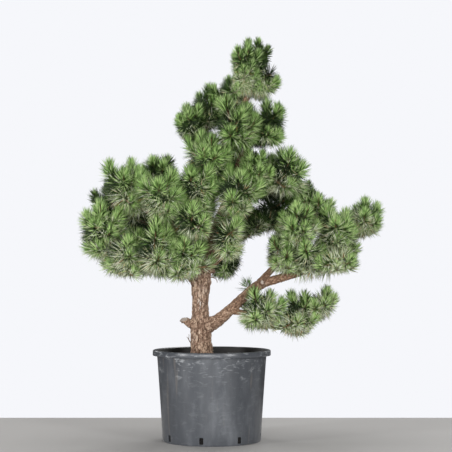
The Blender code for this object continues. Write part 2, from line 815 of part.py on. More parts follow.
def make_mass(name, stem, grown, cutters, parts):
    """One mass of foliage: the stem with its twigs and sprays fused on."""
    on, share, _, _ = MASSES[name]
    mass = tube(name, *stem, 0, parts)
    if share < 1.0:
        apply_boolean(mass, "DIFFERENCE", cutters[on])
    bare = mass.data
    for solver in ("EXACT", "MANIFOLD"):
        pieces = new_collection(name + "_pieces")
        for number, corners in enumerate(grown):
            spray_object(corners, number, pieces)
        mass.data = bare
        apply_boolean(mass, "UNION", pieces, solver)
        for piece in list(pieces.objects):
            bpy.data.objects.remove(piece)
        bpy.data.collections.remove(pieces)
        if is_closed(mass.data):
            break
    finish(mass, FOLIAGE)


def main():
    clear_scene()
    parts = new_collection("mugo_pine")
    helpers = new_collection("helpers")
    make_pot(parts, helpers)
    make_soil(parts)
    shapes = {name: limb_shape(limb) for name, limb in LIMBS.items()}
    cutters = make_limbs(shapes, parts, helpers)
    stems = {name: stem_shape(name, shapes) for name in MASSES}
    tips_taken = []
    for name in MASSES:
        others = [shape for other, shape in stems.items() if other != name]
        tree = room_tree(list(shapes.values()) + others)
        grown = grow_mass(name, stems[name], tree, tips_taken)
        make_mass(name, stems[name], grown, cutters, parts)


main()
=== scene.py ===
import math
import random

import bmesh
import bpy
import numpy as np
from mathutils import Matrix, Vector, noise
from mathutils.bvhtree import BVHTree


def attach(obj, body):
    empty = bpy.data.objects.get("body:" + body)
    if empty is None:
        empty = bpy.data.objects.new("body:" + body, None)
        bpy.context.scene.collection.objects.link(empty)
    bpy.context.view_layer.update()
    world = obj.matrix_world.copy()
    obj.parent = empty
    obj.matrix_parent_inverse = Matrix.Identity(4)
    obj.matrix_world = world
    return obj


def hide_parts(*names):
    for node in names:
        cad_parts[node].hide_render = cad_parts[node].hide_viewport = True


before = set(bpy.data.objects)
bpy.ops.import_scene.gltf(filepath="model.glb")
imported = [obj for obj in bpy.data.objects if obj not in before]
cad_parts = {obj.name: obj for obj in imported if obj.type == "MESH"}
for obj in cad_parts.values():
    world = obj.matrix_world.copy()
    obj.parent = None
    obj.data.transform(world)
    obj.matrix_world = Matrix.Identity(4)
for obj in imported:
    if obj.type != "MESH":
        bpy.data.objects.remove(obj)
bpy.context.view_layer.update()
print("frame loaded:", len(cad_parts), "nodes")

up = Vector((0, 0, 1))
goldenAngle = math.pi * (3 - math.sqrt(5))


# small helpers

def linear(hexColour):  # sRGB hex to the linear colour that the shaders take
    parts = [int(hexColour[i:i + 2], 16) / 255 for i in (1, 3, 5)]
    return (*[p / 12.92 if p <= 0.04045 else ((p + 0.055) / 1.055) ** 2.4 for p in parts], 1)


def newMaterial(name, colour, roughness, settings=None):
    made = bpy.data.materials.new(name)
    made.use_nodes = True
    shader = made.node_tree.nodes["Principled BSDF"]
    shader.inputs["Base Color"].default_value = linear(colour)
    shader.inputs["Roughness"].default_value = roughness
    for socket, value in (settings or {}).items():
        shader.inputs[socket].default_value = value
    return made


def addNode(material, kind, settings=None, links=None):
    # settings: a property's or socket's name, or a socket's number; links: a socket and what feeds it
    node = material.node_tree.nodes.new("ShaderNode" + kind)
    for key, value in (settings or {}).items():
        if isinstance(key, str) and hasattr(node, key):
            setattr(node, key, value)
        else:
            node.inputs[key].default_value = value
    for key, (source, output) in (links or {}).items():
        material.node_tree.links.new(source.outputs[output], node.inputs[key])
    return node


def feedShader(material, socket, node, output):
    shader = material.node_tree.nodes["Principled BSDF"]
    material.node_tree.links.new(node.outputs[output], shader.inputs[socket])


def setRamp(node, stops):  # stops are (position, colour) pairs
    ramp = node.color_ramp
    ramp.elements.remove(ramp.elements[1])
    ramp.elements[0].position = stops[0][0]
    ramp.elements[0].color = linear(stops[0][1])
    for position, colour in stops[1:]:
        ramp.elements.new(position).color = linear(colour)
    return node


def deselect():
    if bpy.context.object and bpy.context.object.mode != "OBJECT":
        bpy.ops.object.mode_set(mode="OBJECT")
    bpy.ops.object.select_all(action="DESELECT")


def pick(*things):  # selects these objects alone, the first one active
    deselect()
    for thing in things:
        thing.select_set(True)
    bpy.context.view_layer.objects.active = things[0]


def selectTop(thing):  # into edit mode, with only the faces that look up selected
    bpy.ops.object.mode_set(mode="EDIT")
    bpy.ops.mesh.select_mode(type="FACE")
    bpy.ops.mesh.select_all(action="DESELECT")
    edit = bmesh.from_edit_mesh(thing.data)
    for face in edit.faces:
        face.select_set(face.normal.z > 0.9)
    bmesh.update_edit_mesh(thing.data)


def settle(thing):  # puts the object's place in its mesh
    pick(thing)
    bpy.ops.object.transform_apply(location=True, rotation=True, scale=True)


def useModifier(thing, kind, settings):
    pick(thing)
    change = thing.modifiers.new(kind.lower(), kind)
    for key, value in settings.items():
        setattr(change, key, value)
    bpy.ops.object.modifier_apply(modifier=change.name)


def dress(thing, slot, *nodes):  # a finished piece: its body and the nodes that it stands for; its slot is not used
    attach(thing, "root")
    if nodes:
        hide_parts(*nodes)
    return thing


def unit(vectors):
    return vectors / np.maximum(np.linalg.norm(vectors, axis=1, keepdims=True), 1e-9)


def squareTo(axes):  # two directions square to each axis
    side = unit(np.cross(axes, np.array([0.31, -0.87, 0.38])))
    return side, np.cross(axes, side)


def fade(values, start, end):  # 0 up to start, 1 from end on
    return np.clip((values - start) / (end - start), 0, 1)


def repeatFaces(faces, count, corners):  # the faces of count like shapes, each with this many corners
    return ((np.arange(count) * corners)[:, None, None] + np.array(faces)[None]).reshape(-1, 3)


def meshFromArrays(name, points, triangles, looks, materials):
    mesh = bpy.data.meshes.new(name)
    mesh.vertices.add(len(points))
    mesh.vertices.foreach_set("co", points.astype(np.float32).ravel())
    mesh.loops.add(triangles.size)
    mesh.loops.foreach_set("vertex_index", triangles.astype(np.int32).ravel())
    mesh.polygons.add(len(triangles))
    mesh.polygons.foreach_set("loop_start", np.arange(0, triangles.size, 3, dtype=np.int32))
    for material in materials:
        mesh.materials.append(material)
    mesh.polygons.foreach_set("material_index", looks.astype(np.int32))
    mesh.update(calc_edges=True)
    mesh.shade_smooth()
    thing = bpy.data.objects.new(name, mesh)
    bpy.context.scene.collection.objects.link(thing)
    return thing


# the plant's plan: limbs and masses as the source has them

soilLevel = 0.212
modelRadius = 0.060  # the mean radius of a full-size mass
limbSteps = 30  # points along each limb

# Each limb: its path, its radius at both ends, and swellings as (share of the length, extra radius,
# half width as a share of the length). All but the trunk start on a limb that stands above them here.
limbs = {
    "trunk": {
        "path": [(-0.026, 0.0, soilLevel), (-0.030, 0.0, 0.298), (-0.031, 0.0, 0.352),
                 (-0.030, 0.0, 0.408), (-0.025, 0.003, 0.452), (0.000, 0.010, 0.537),
                 (0.027, 0.020, 0.612), (0.056, 0.020, 0.684), (0.079, 0.012, 0.766),
                 (0.086, 0.002, 0.866), (0.093, 0.0, 0.968)],
        "radius": (0.0262, 0.0060),
        "swell": [(0.0, 0.0068, 0.09), (0.115, 0.0035, 0.045), (0.285, 0.0068, 0.055),
                  (0.40, -0.0020, 0.06)],
    },
    "right_bough": {
        "path": [(-0.030, 0.0, 0.300), (0.017, -0.006, 0.325), (0.055, -0.012, 0.358),
                 (0.091, -0.018, 0.391), (0.130, -0.022, 0.421), (0.175, -0.028, 0.436),
                 (0.230, -0.036, 0.452), (0.279, -0.042, 0.470)],
        "radius": (0.0172, 0.0100),
        "swell": [(0.06, 0.0045, 0.11), (0.52, 0.0022, 0.07)],
    },
    "right_fork": {
        "path": [(0.128, -0.021, 0.426), (0.153, -0.012, 0.452), (0.172, -0.004, 0.474),
                 (0.196, 0.012, 0.512), (0.222, 0.030, 0.556)],
        "radius": (0.0108, 0.0052),
    },
    "right_riser": {
        "path": [(0.188, -0.030, 0.444), (0.226, -0.002, 0.473), (0.266, 0.022, 0.506),
                 (0.302, 0.034, 0.540), (0.338, 0.038, 0.570)],
        "radius": (0.0080, 0.0050),
    },
    "low_bough": {
        "path": [(0.048, -0.010, 0.352), (0.070, -0.018, 0.347), (0.094, -0.024, 0.347),
                 (0.112, -0.028, 0.351)],
        "radius": (0.0092, 0.0068),
    },
    "low_twig": {
        "path": [(0.094, -0.024, 0.346), (0.124, 0.006, 0.320), (0.162, 0.028, 0.303),
                 (0.208, 0.036, 0.303), (0.248, 0.028, 0.322)],
        "radius": (0.0050, 0.0038),
    },
    "left_bough": {
        "path": [(-0.026, 0.002, 0.436), (-0.056, -0.020, 0.474), (-0.081, -0.045, 0.515),
                 (-0.093, -0.056, 0.560), (-0.121, -0.062, 0.592), (-0.160, -0.060, 0.612)],
        "radius": (0.0158, 0.0068),
        "swell": [(0.0, 0.003, 0.15)],
    },
    "left_low_bough": {
        "path": [(-0.074, -0.038, 0.502), (-0.116, -0.050, 0.487), (-0.160, -0.040, 0.484),
                 (-0.214, -0.020, 0.502)],
        "radius": (0.0082, 0.0058),
    },
    "left_back_bough": {
        "path": [(-0.018, 0.004, 0.472), (-0.058, 0.050, 0.505), (-0.112, 0.088, 0.552),
                 (-0.176, 0.106, 0.588)],
        "radius": (0.0110, 0.0062),
    },
    "centre_bough": {
        "path": [(-0.008, 0.008, 0.510), (-0.022, -0.036, 0.540), (-0.040, -0.078, 0.586)],
        "radius": (0.0092, 0.0056),
    },
    "crown_bough": {
        "path": [(0.010, 0.014, 0.566), (0.030, -0.032, 0.590), (0.050, -0.070, 0.625)],
        "radius": (0.0088, 0.0056),
    },
    "back_bough": {
        "path": [(-0.022, 0.004, 0.458), (0.022, 0.054, 0.494), (0.078, 0.092, 0.546),
                 (0.142, 0.112, 0.582), (0.196, 0.124, 0.606), (0.232, 0.130, 0.630)],
        "radius": (0.0106, 0.0056),
    },
    "mid_bough": {
        "path": [(0.060, 0.019, 0.696), (0.104, -0.006, 0.694), (0.152, -0.020, 0.704)],
        "radius": (0.0080, 0.0052),
    },
    "tier_left_bough": {
        "path": [(0.082, 0.008, 0.790), (0.040, 0.006, 0.812), (-0.008, 0.004, 0.818),
                 (-0.040, 0.002, 0.836)],
        "radius": (0.0068, 0.0044),
    },
}

# Each mass: the limb that carries it, where along that limb, its centre and half sizes
masses = {
    "left_tip": ("left_low_bough", 1.0, (-0.303, -0.040, 0.569), (0.062, 0.062, 0.072)),
    "left_low": ("left_low_bough", 0.68, (-0.234, -0.068, 0.511), (0.066, 0.062, 0.062)),
    "left_back": ("left_back_bough", 1.0, (-0.296, 0.100, 0.657), (0.054, 0.060, 0.050)),
    "left_top": ("left_bough", 1.0, (-0.242, -0.050, 0.696), (0.068, 0.062, 0.079)),
    "left_front_top": ("left_bough", 0.86, (-0.138, -0.120, 0.670), (0.064, 0.060, 0.075)),
    "left_front_low": ("left_low_bough", 0.46, (-0.152, -0.128, 0.517), (0.060, 0.062, 0.075)),
    "left_inner_low": ("left_bough", 0.21, (-0.078, -0.100, 0.500), (0.058, 0.058, 0.063)),
    "centre_top": ("centre_bough", 1.0, (-0.053, -0.090, 0.689), (0.051, 0.060, 0.069)),
    "centre_front": ("centre_bough", 0.80, (-0.055, -0.150, 0.596), (0.054, 0.060, 0.056)),
    "crown_front": ("crown_bough", 1.0, (0.062, -0.110, 0.672), (0.064, 0.060, 0.065)),
    "crown_front_low": ("crown_bough", 0.62, (0.036, -0.128, 0.562), (0.060, 0.060, 0.079)),
    "left_back_top": ("left_back_bough", 0.62, (-0.146, 0.070, 0.731), (0.062, 0.070, 0.052)),
    "back_left": ("left_back_bough", 0.84, (-0.185, 0.150, 0.597), (0.083, 0.080, 0.080)),
    "back_centre": ("left_back_bough", 0.40, (-0.064, 0.160, 0.617), (0.080, 0.080, 0.084)),
    "mid_front": ("trunk", 0.585, (-0.013, -0.050, 0.756), (0.057, 0.060, 0.073)),
    "mid_back": ("trunk", 0.56, (0.027, 0.120, 0.748), (0.067, 0.070, 0.067)),
    "tier_left": ("tier_left_bough", 1.0, (-0.060, 0.000, 0.863), (0.043, 0.052, 0.052)),
    "tier_left_back": ("tier_left_bough", 0.66, (-0.021, 0.040, 0.911), (0.043, 0.052, 0.064)),
    "tier_top": ("trunk", 0.860, (0.044, 0.030, 0.949), (0.047, 0.052, 0.047)),
    "tier_front": ("trunk", 0.825, (0.055, -0.080, 0.852), (0.060, 0.060, 0.078)),
    "tier_right": ("trunk", 0.800, (0.153, -0.022, 0.866), (0.061, 0.060, 0.057)),
    "tier_back": ("trunk", 0.79, (0.092, 0.100, 0.886), (0.071, 0.062, 0.067)),
    "top_front": ("trunk", 0.955, (0.088, -0.030, 1.031), (0.038, 0.042, 0.057)),
    "top_tip": ("trunk", 1.0, (0.122, 0.020, 1.060), (0.046, 0.042, 0.040)),
    "top_right": ("trunk", 0.925, (0.157, 0.012, 1.006), (0.046, 0.046, 0.050)),
    "mid_right_inner": ("mid_bough", 0.72, (0.119, -0.070, 0.725), (0.037, 0.050, 0.051)),
    "mid_right": ("mid_bough", 1.0, (0.197, -0.030, 0.733), (0.070, 0.060, 0.069)),
    "mid_right_back": ("mid_bough", 0.45, (0.152, 0.104, 0.732), (0.068, 0.062, 0.066)),
    "back_dark": ("back_bough", 0.52, (0.158, 0.098, 0.637), (0.070, 0.062, 0.061)),
    "back_middle": ("back_bough", 0.47, (0.088, 0.104, 0.602), (0.042, 0.050, 0.046)),
    "back_low": ("back_bough", 0.42, (0.030, 0.094, 0.503), (0.048, 0.060, 0.067)),
    "right_front": ("right_fork", 0.80, (0.226, -0.100, 0.588), (0.051, 0.060, 0.062)),
    "right_inner": ("right_fork", 0.52, (0.190, -0.044, 0.518), (0.048, 0.058, 0.060)),
    "right_top": ("right_fork", 1.0, (0.288, 0.020, 0.638), (0.049, 0.060, 0.055)),
    "right_top_back": ("back_bough", 1.0, (0.261, 0.130, 0.669), (0.051, 0.052, 0.045)),
    "right_centre": ("right_riser", 0.70, (0.327, -0.070, 0.573), (0.055, 0.060, 0.063)),
    "right_tip": ("right_riser", 1.0, (0.418, 0.004, 0.611), (0.061, 0.060, 0.050)),
    "right_low": ("right_bough", 1.0, (0.336, -0.100, 0.503), (0.068, 0.062, 0.044)),
    "right_low_inner": ("right_bough", 0.88, (0.258, -0.084, 0.512), (0.052, 0.060, 0.056)),
    "right_back": ("right_riser", 0.86, (0.355, 0.112, 0.566), (0.080, 0.070, 0.074)),
    "low_inner": ("low_bough", 1.0, (0.126, -0.030, 0.361), (0.064, 0.062, 0.058)),
    "low_middle": ("low_twig", 0.45, (0.234, -0.010, 0.349), (0.047, 0.062, 0.063)),
    "low_tip": ("low_twig", 1.0, (0.292, -0.008, 0.381), (0.054, 0.056, 0.050)),
}


def splinePoint(points, share):  # a point on the smooth curve through the points
    place = min(max(share, 0), 1) * (len(points) - 1)
    first = min(int(place), len(points) - 2)
    t = place - first
    before = points[max(first - 1, 0)]
    start = points[first]
    end = points[first + 1]
    after = points[min(first + 2, len(points) - 1)]
    a = 2 * start
    b = end - before
    c = 2 * before - 5 * start + 4 * end - after
    d = 3 * start - before - 3 * end + after
    return (a + b * t + c * t * t + d * t * t * t) / 2


def evenPath(points, count, steps=200):  # count points, evenly spaced by length
    points = [Vector(p) for p in points]
    fine = [splinePoint(points, k / steps) for k in range(steps + 1)]
    along = [0.0]
    for a, b in zip(fine, fine[1:]):
        along.append(along[-1] + (b - a).length)
    path = []
    place = 0
    for k in range(count):
        want = along[-1] * k / (count - 1)
        while place < len(along) - 2 and along[place + 1] < want:
            place += 1
        step = along[place + 1] - along[place]
        t = (want - along[place]) / step if step else 0
        path.append(fine[place].lerp(fine[place + 1], min(max(t, 0), 1)))
    return path


def limbRadius(limb, share):
    start, end = limb["radius"]
    radius = start + (end - start) * share
    for place, extra, width in limb.get("swell", ()):
        radius += extra * math.exp(-(((share - place) / width) ** 2))
    return radius


def limbShape(limb, count):
    path = evenPath(limb["path"], count)
    return path, [limbRadius(limb, k / (count - 1)) for k in range(count)]


def placeOn(shape, share):  # point, direction and radius at a share of a limb's length
    path, radii = shape
    place = min(max(share, 0), 1) * (len(path) - 1)
    first = min(int(place), len(path) - 2)
    t = place - first
    direction = (path[first + 1] - path[first]).normalized()
    return path[first].lerp(path[first + 1], t), direction, radii[first] * (1 - t) + radii[first + 1] * t


def meanRadius(size):
    return sum(size) / 3


def massScale(size):
    return min(meanRadius(size) / modelRadius, 1.1)


def cellPlanes(name, reachOfAll=0.30):  # the planes that part a mass from each near one: (normal, limit)
    centre, size = Vector(masses[name][2]), masses[name][3]
    planes = []
    for other, (_, _, farCentre, farSize) in masses.items():
        apart = Vector(farCentre) - centre
        if other == name or apart.length > reachOfAll:
            continue
        own = meanRadius(size)
        far = meanRadius(farSize)
        reach = (apart.length_squared + own * own - far * far) / (2 * apart.length)
        normal = apart.normalized()
        planes.append((normal, normal.dot(centre) + reach))
    return planes


stemSet = {
    "rings": 9,
    "heartDrop": 0.22,        # how far a mass's heart lies below its centre, as a share of its half height
    "bend": 0.010,            # how far a stem's curve is pushed along its limb, and down below the heart
    "tip": (0.012, 0.92),     # at a limb's tip: how far it runs straight on, its radius next to the limb's
    "side": (0.35, 0.72),     # on a limb's side: where its curve is pushed, its radius next to the limb's
    "sideMost": 0.0052,       # the most that a side stem's radius may be
    "thin": 0.00231,          # its radius at the heart
}


def stemShape(name, shapes):  # the one stem of a mass, from its limb to the mass's heart
    on, share, centre, size = masses[name]
    start, along, radius = placeOn(shapes[on], share)
    heart = Vector(centre) - up * size[2] * stemSet["heartDrop"]
    push = stemSet["bend"]
    if share == 1.0:
        straight, part = stemSet["tip"]
        first = start + along * straight
        wide = radius * part
    else:
        where, part = stemSet["side"]
        first = start + (heart - start) * where + along * push
        wide = min(radius * part, stemSet["sideMost"])
    second = heart - up * push - (heart - start).normalized() * push
    last = stemSet["rings"] - 1
    path = evenPath([start, first, second, heart], stemSet["rings"])
    return path, [wide + (stemSet["thin"] - wide) * k / last for k in range(last + 1)]


def roomTree(tubes, sides=8):  # one search tree of the limbs that the foliage keeps clear of
    corners = []
    faces = []
    for path, radii in tubes:
        first = len(corners)
        for k, (point, radius) in enumerate(zip(path, radii)):
            axis = (path[min(k + 1, len(path) - 1)] - path[max(k - 1, 0)]).normalized()
            side = axis.cross(Vector((0.31, -0.87, 0.38))).normalized()
            other = axis.cross(side)
            for s in range(sides):
                angle = math.tau * s / sides
                corners.append(point + (side * math.cos(angle) + other * math.sin(angle)) * radius)
        for k in range(len(path) - 1):
            for s in range(sides):
                n = (s + 1) % sides
                ring = first + k * sides
                faces.append((ring + s, ring + n, ring + sides + n, ring + sides + s))
    return BVHTree.FromPolygons(corners, faces)


# foliage: the source's rule for the tips of its sprays, carried on to single shoots and needles

foliage = {
    "directions": 230,        # trial directions round the heart of a mass
    "lowest": -0.55,          # nothing grows straight down
    "scan": (0.7, 1.8, 23),   # where the outline is looked for: first, last (the mass's own is 1), steps
    "drawn": (0.90, 1.0),     # how far out to the outline the tips reach, by chance
    "spacing": 0.0410,        # between neighbouring shoot tips on a full-size mass
    "rows": (0.65, 0.90),     # how much a height between two tips counts: on one mass, between two masses
    "depth": (0.025, 0.013),  # how far a bud lies inside the outline: at a mass's side, at its top
    "spread": 0.30,           # how far a shoot leans out of the mass, next to its pull up to the light
    "pull": (0.7, 1.25),      # that pull, by chance
    "bearing": 0.100,         # the length of shoot that bears needles
    "start": (0.55, 0.8),     # how far from its bud a shoot leaves the stem: of that length, of the way there
    "leave": 0.6,             # how far it leaves along the stem
    "handles": (0.34, 0.46),  # how far it runs straight: at its foot, at its bud
    "tries": 8,               # how often a bud may be drawn in to stay on its own mass's side
    "drawIn": 0.12,           # by this share of its way to the heart
    "closest": 0.010,         # how near the heart a bud may be
    "clear": 0.012,           # how near a limb it may be
    "softness": 1.6,          # high keeps neighbouring masses apart, low runs them into one outline
    "edge": (0.24, 0.80),     # the fullness at which single needles end, from loose to close
    "ragged": 1.7,            # the higher, the fewer needles reach the loose end
    "fringe": 0.06,           # how much looser they end under a mass
}
needleSet = {
    "pairs": 202,             # on a shoot of full length
    "fewest": 0.45,           # the share of them that the shortest shoot has
    "long": 0.048,
    "wide": 0.0020,           # as in life: the needles of this pine are 1.5 to 2 mm wide
    "ages": (0.0, 0.44, 0.54, 0.80, 0.93, 1.0),  # places along the shoot, from its foot to its bud
    "lean": (100, 88, 50, 42, 29, 14),           # degrees off the shoot: old ones spread, young ones stand
    "length": (1.0, 1.0, 0.76, 0.76, 0.67, 0.56),
    "crowding": 1.25,         # how much closer old needles stand than young ones
    "turn": (0.13, 0.25),     # radians: from a pair's middle to either needle, and how far pairs stray
    "ruffle": (0.16, 0.17),   # how unevenly needles lean, in radians: at the foot, at the bud
    "uneven": (0.84, 1.08),   # how unevenly long they are
    "bendAt": 0.45,           # where a needle bends, as a share of its length
    "curl": (0.02, 0.22),     # how far it bends up the shoot
    "lift": 0.11,             # how far young needles turn up
    "droop": (0.10, 0.55),    # how far old needles hang: on any shoot, and more on the lowest ones
    "lowShoot": 0.35,         # the upward part of its direction below which a shoot is a low one
    "old": (0.60, 0.40),      # the places along the shoot between which the droop grows to full
    "cuts": (1.0, 0.85, 0.7, 0.55),  # the shares of its length that a needle may be drawn in to
}

# the core round the trunk counts as crown too, so that the masses close over it: centres and sizes
cores = [
    ((0.105, 0.020, 0.835), (0.048, 0.048, 0.140)),
    ((0.137, 0.000, 0.772), (0.034, 0.045, 0.048)),
    ((0.010, 0.000, 0.662), (0.036, 0.050, 0.060)),
]
massCentres = np.array([row[2] for row in masses.values()] + [centre for centre, _ in cores])
massSizes = np.array([row[3] for row in masses.values()] + [size for _, size in cores])


def fullness(points, softness):  # 1 on the outline of a mass by itself, more where neighbours meet
    away = (points[:, None] - massCentres) / massSizes
    return np.exp(softness * (1 - (away ** 2).sum(axis=2))).sum(axis=1)


def trialTips(name):  # the source's rule: points over a mass's outline, dealt out by a seeded spiral
    _, _, centre, size = masses[name]
    rule = random.Random(name)
    turn = rule.uniform(0, math.tau)
    shares = np.linspace(*foliage["scan"])
    trials = []
    for k in range(foliage["directions"]):
        z = 1 - 2 * (k + 0.5) / foliage["directions"]
        angle = turn + k * goldenAngle
        flat = math.sqrt(1 - z * z)
        direction = (flat * math.cos(angle), flat * math.sin(angle), z)
        if z > foliage["lowest"]:
            reach = np.array([centre[i] + direction[i] * size[i] for i in range(3)]) - centre
            outside = np.flatnonzero(fullness(centre + reach * shares[:, None], foliage["softness"]) < 1.0)
            last = outside[0] if len(outside) else len(shares) - 1
            trials.append(centre + reach * shares[last - 1] * rule.uniform(*foliage["drawn"]))
    return np.array(trials)


def shootHandles(path, bud, growth, radial):  # the four handles of a shoot's curve, from the stem to its bud
    bearing, whole = foliage["start"]
    reach = min(foliage["bearing"] * bearing, (bud - path[0]).length * whole)
    best = min(range(2, len(path)), key=lambda k: abs((path[k] - bud).length - reach))
    start = path[best]
    along = (path[best] - path[best - 1]).normalized()
    span = (bud - start).length
    leave = (along * foliage["leave"] + radial).normalized()
    foot, end = foliage["handles"]
    return start, start + leave * span * foot, bud - growth * span * end, bud


def growShoots(name, stem, tree, taken):  # the shoots of one mass, as bending paths that end in a bud
    rule = random.Random(name + " shoots")
    planes = cellPlanes(name)
    path, _ = stem
    heart = path[-1]
    scale = massScale(masses[name][3])
    trials = trialTips(name)
    room = np.full(len(trials), 1.0)
    own, other = [np.array((1, 1, rows)) for rows in foliage["rows"]]
    for far in taken:
        room = np.minimum(room, np.linalg.norm((trials - far) * other, axis=1))
    shoots = []
    while room.max() > foliage["spacing"] * scale:
        best = int(room.argmax())
        tip = Vector(trials[best])
        room[best] = 0
        radial = (tip - heart).normalized()
        growth = (radial * foliage["spread"] + up * rule.uniform(*foliage["pull"])).normalized()
        side, top = foliage["depth"]
        depth = side + (top - side) * max(0.0, radial.z)
        bud = tip - (growth + radial).normalized() * depth * scale
        tries = 0
        while tries < foliage["tries"] and any(normal.dot(bud) > limit for normal, limit in planes):
            bud = bud.lerp(heart, foliage["drawIn"])
            tries += 1
        if tries == foliage["tries"] or (bud - heart).length < foliage["closest"]:
            continue
        if tree.find_nearest(bud, foliage["clear"])[0] is not None:
            continue
        points = shootHandles(path, bud, growth, radial)
        shoots.append({"points": points, "growth": growth, "radial": radial, "scale": scale,
                       "mass": name, "seed": rule.random()})
        taken.append(np.array(tip))
        room = np.minimum(room, np.linalg.norm((trials - taken[-1]) * own, axis=1))
    return shoots


def bend(points, t):  # points and directions along a cubic through four handles, for an array of shares
    a, b, c, d = [np.array(p) for p in points]
    t = t[:, None]
    place = a * (1 - t) ** 3 + 3 * b * t * (1 - t) ** 2 + 3 * c * t * t * (1 - t) + d * t ** 3
    along = 3 * (b - a) * (1 - t) ** 2 + 6 * (c - b) * t * (1 - t) + 3 * (d - c) * t * t
    return place, along / np.linalg.norm(along, axis=1, keepdims=True)


def shootNeedles(shoot, number):  # each needle's base, middle, tip, place up the shoot and way
    s = needleSet
    rule = np.random.default_rng(int(shoot["seed"] * 1e9) + number)
    points = shoot["points"]
    length = sum((points[k + 1] - points[k]).length for k in range(3))
    pairs = int(s["pairs"] * min(1.0, s["fewest"] + (1 - s["fewest"]) * length / foliage["bearing"]))
    count = 2 * pairs
    first = max(0.02, 1 - foliage["bearing"] / length)
    share = ((np.arange(pairs) + rule.uniform(0, 1, pairs)) / pairs) ** s["crowding"]
    base, axis = bend(points, first + (1 - first) * share)
    share, base, axis = [np.repeat(values, 2, axis=0) for values in (share, base, axis)]
    apart, stray = s["turn"]
    turn = np.arange(pairs) * goldenAngle + rule.uniform(0, math.tau) + rule.normal(0, stray, pairs)
    turn = np.repeat(turn, 2) + np.tile([-apart, apart], pairs)
    lean = np.radians(np.interp(share, s["ages"], s["lean"]))
    lean = lean + rule.normal(0, 1, count) * np.interp(share, (0, 1), s["ruffle"])
    side, other = squareTo(axis)
    out = side * np.cos(turn)[:, None] + other * np.sin(turn)[:, None]
    way = axis * np.cos(lean)[:, None] + out * np.sin(lean)[:, None]
    always, lowest = s["droop"]
    fall = fade(share, *s["old"]) * (always + lowest * max(0.0, s["lowShoot"] - shoot["radial"].z))
    way = unit(way + np.array(up) * (s["lift"] * share - fall)[:, None])
    long = s["long"] * shoot["scale"] * rule.uniform(*s["uneven"], count)
    long = long * np.interp(share, s["ages"], s["length"])
    middle = base + way * (long * s["bendAt"])[:, None]
    curl = unit(way + axis * rule.uniform(*s["curl"], count)[:, None])
    tip = middle + curl * (long * (1 - s["bendAt"]))[:, None]
    return base, middle, tip, share, way


def keepNeedles(base, middle, tip, shoot, tree):  # which ones stay in reach and off the limbs, some drawn in
    rule = np.random.default_rng(len(base))
    _, _, centre, size = masses[shoot["mass"]]
    below = np.clip((centre[2] - tip[:, 2]) / size[2], 0, 1)
    loose, close = foliage["edge"]
    edge = close - (close - loose) * rule.uniform(0, 1, len(base)) ** foliage["ragged"]
    edge = edge - foliage["fringe"] * below
    share = np.zeros(len(base))
    for cut in needleSet["cuts"]:
        reaching = fullness(base + (tip - base) * cut, foliage["softness"]) >= edge
        share = np.where((share == 0) & reaching, cut, share)
    keep = share > 0
    middle = base + (middle - base) * share[:, None]
    tip = base + (tip - base) * share[:, None]
    for k in np.flatnonzero(keep):
        start = Vector(base[k])
        way = Vector(tip[k]) - start
        if tree.ray_cast(start, way.normalized(), way.length)[0] is not None:
            keep[k] = False
    return keep, middle, tip


def needleMesh(base, middle, tip, rolls):  # slender closed spindles with three sides, bent at their widest
    side, other = squareTo(unit(middle - base))
    points = np.zeros((len(base), 5, 3))
    points[:, 0] = base
    for k in range(3):
        angle = rolls + math.tau * k / 3
        out = side * np.cos(angle)[:, None] + other * np.sin(angle)[:, None]
        points[:, 1 + k] = middle + out * needleSet["wide"] * 0.55
    points[:, 4] = tip
    faces = []
    for k in range(3):
        n = (k + 1) % 3
        faces += [(0, 1 + n, 1 + k), (1 + k, 1 + n, 4)]
    return points.reshape(-1, 3), repeatFaces(faces, len(base), 5)


# the looks of needles, first the greens, then the pale ones, last the dark ones, which serve mostly for
# painted shade, and the dead ones:
# each one's plain colour, and the look of its foot, darker with painted shade on all but the young needles
# near the bud
needleTones = {
    "fresh": ("#8fb163", "green"),
    "spring": ("#b2cb87", "green"),
    "green": ("#678847", "deep"),
    "leaf": ("#99aa77", "green"),
    "pale": ("#c5caaa", "leaf"),
    "silvery": ("#d9dec9", "pale"),
    "deep": ("#3c551c", "shade"),
    "straw": ("#c8b88f", "leaf"),
    "shade": ("#1f3012", "shade"),
    "dry": ("#96683f", "dry"),
}
toneNumber = {name: number for number, name in enumerate(needleTones)}
hands = {  # which looks are dealt to young, older and pale needles: each up to this share of them
    "young": (("fresh", 0.36), ("spring", 0.60), ("green", 0.84), ("deep", 1.0)),
    "older": (("green", 0.30), ("leaf", 0.64), ("pale", 0.86), ("deep", 1.0)),
    "pale": (("pale", 0.32), ("silvery", 0.44), ("leaf", 0.78), ("straw", 0.86), ("deep", 0.96),
             ("shade", 1.0)),
}
toneSet = {
    "light": 0.12,            # what light a needle has at the foot of a spray
    "toBud": 0.62,            # and more of it at the bud
    "upMass": 0.20,           # at the top of the mass
    "upCrown": 0.24,          # and for each metre up the crown, which deals darker greens higher up and paler looks lower down, as painted shade and light
    "crownMiddle": 0.62,
    "sprays": 0.16,           # how much sprays differ by chance
    "needles": 0.06,          # and single needles
    "young": 0.46,            # the light from which needles are of the young kind
    "older": 0.34,            # and of the older kind
    "dry": 0.985,             # the share of needles that live, on the older half of a spray
    "plain": 0.58,            # from here to the bud a needle is one colour, with no painted shade at its foot
    "top": (0.66, 0.18),      # above this height masses are darker with painted shade, below it paler with painted light, and in full so far off
    "topShade": 0.26,         # the share of needles dark with painted shade at the very top
    "lowPaintedLight": 0.38,        # the share paled with painted light at the very bottom
}
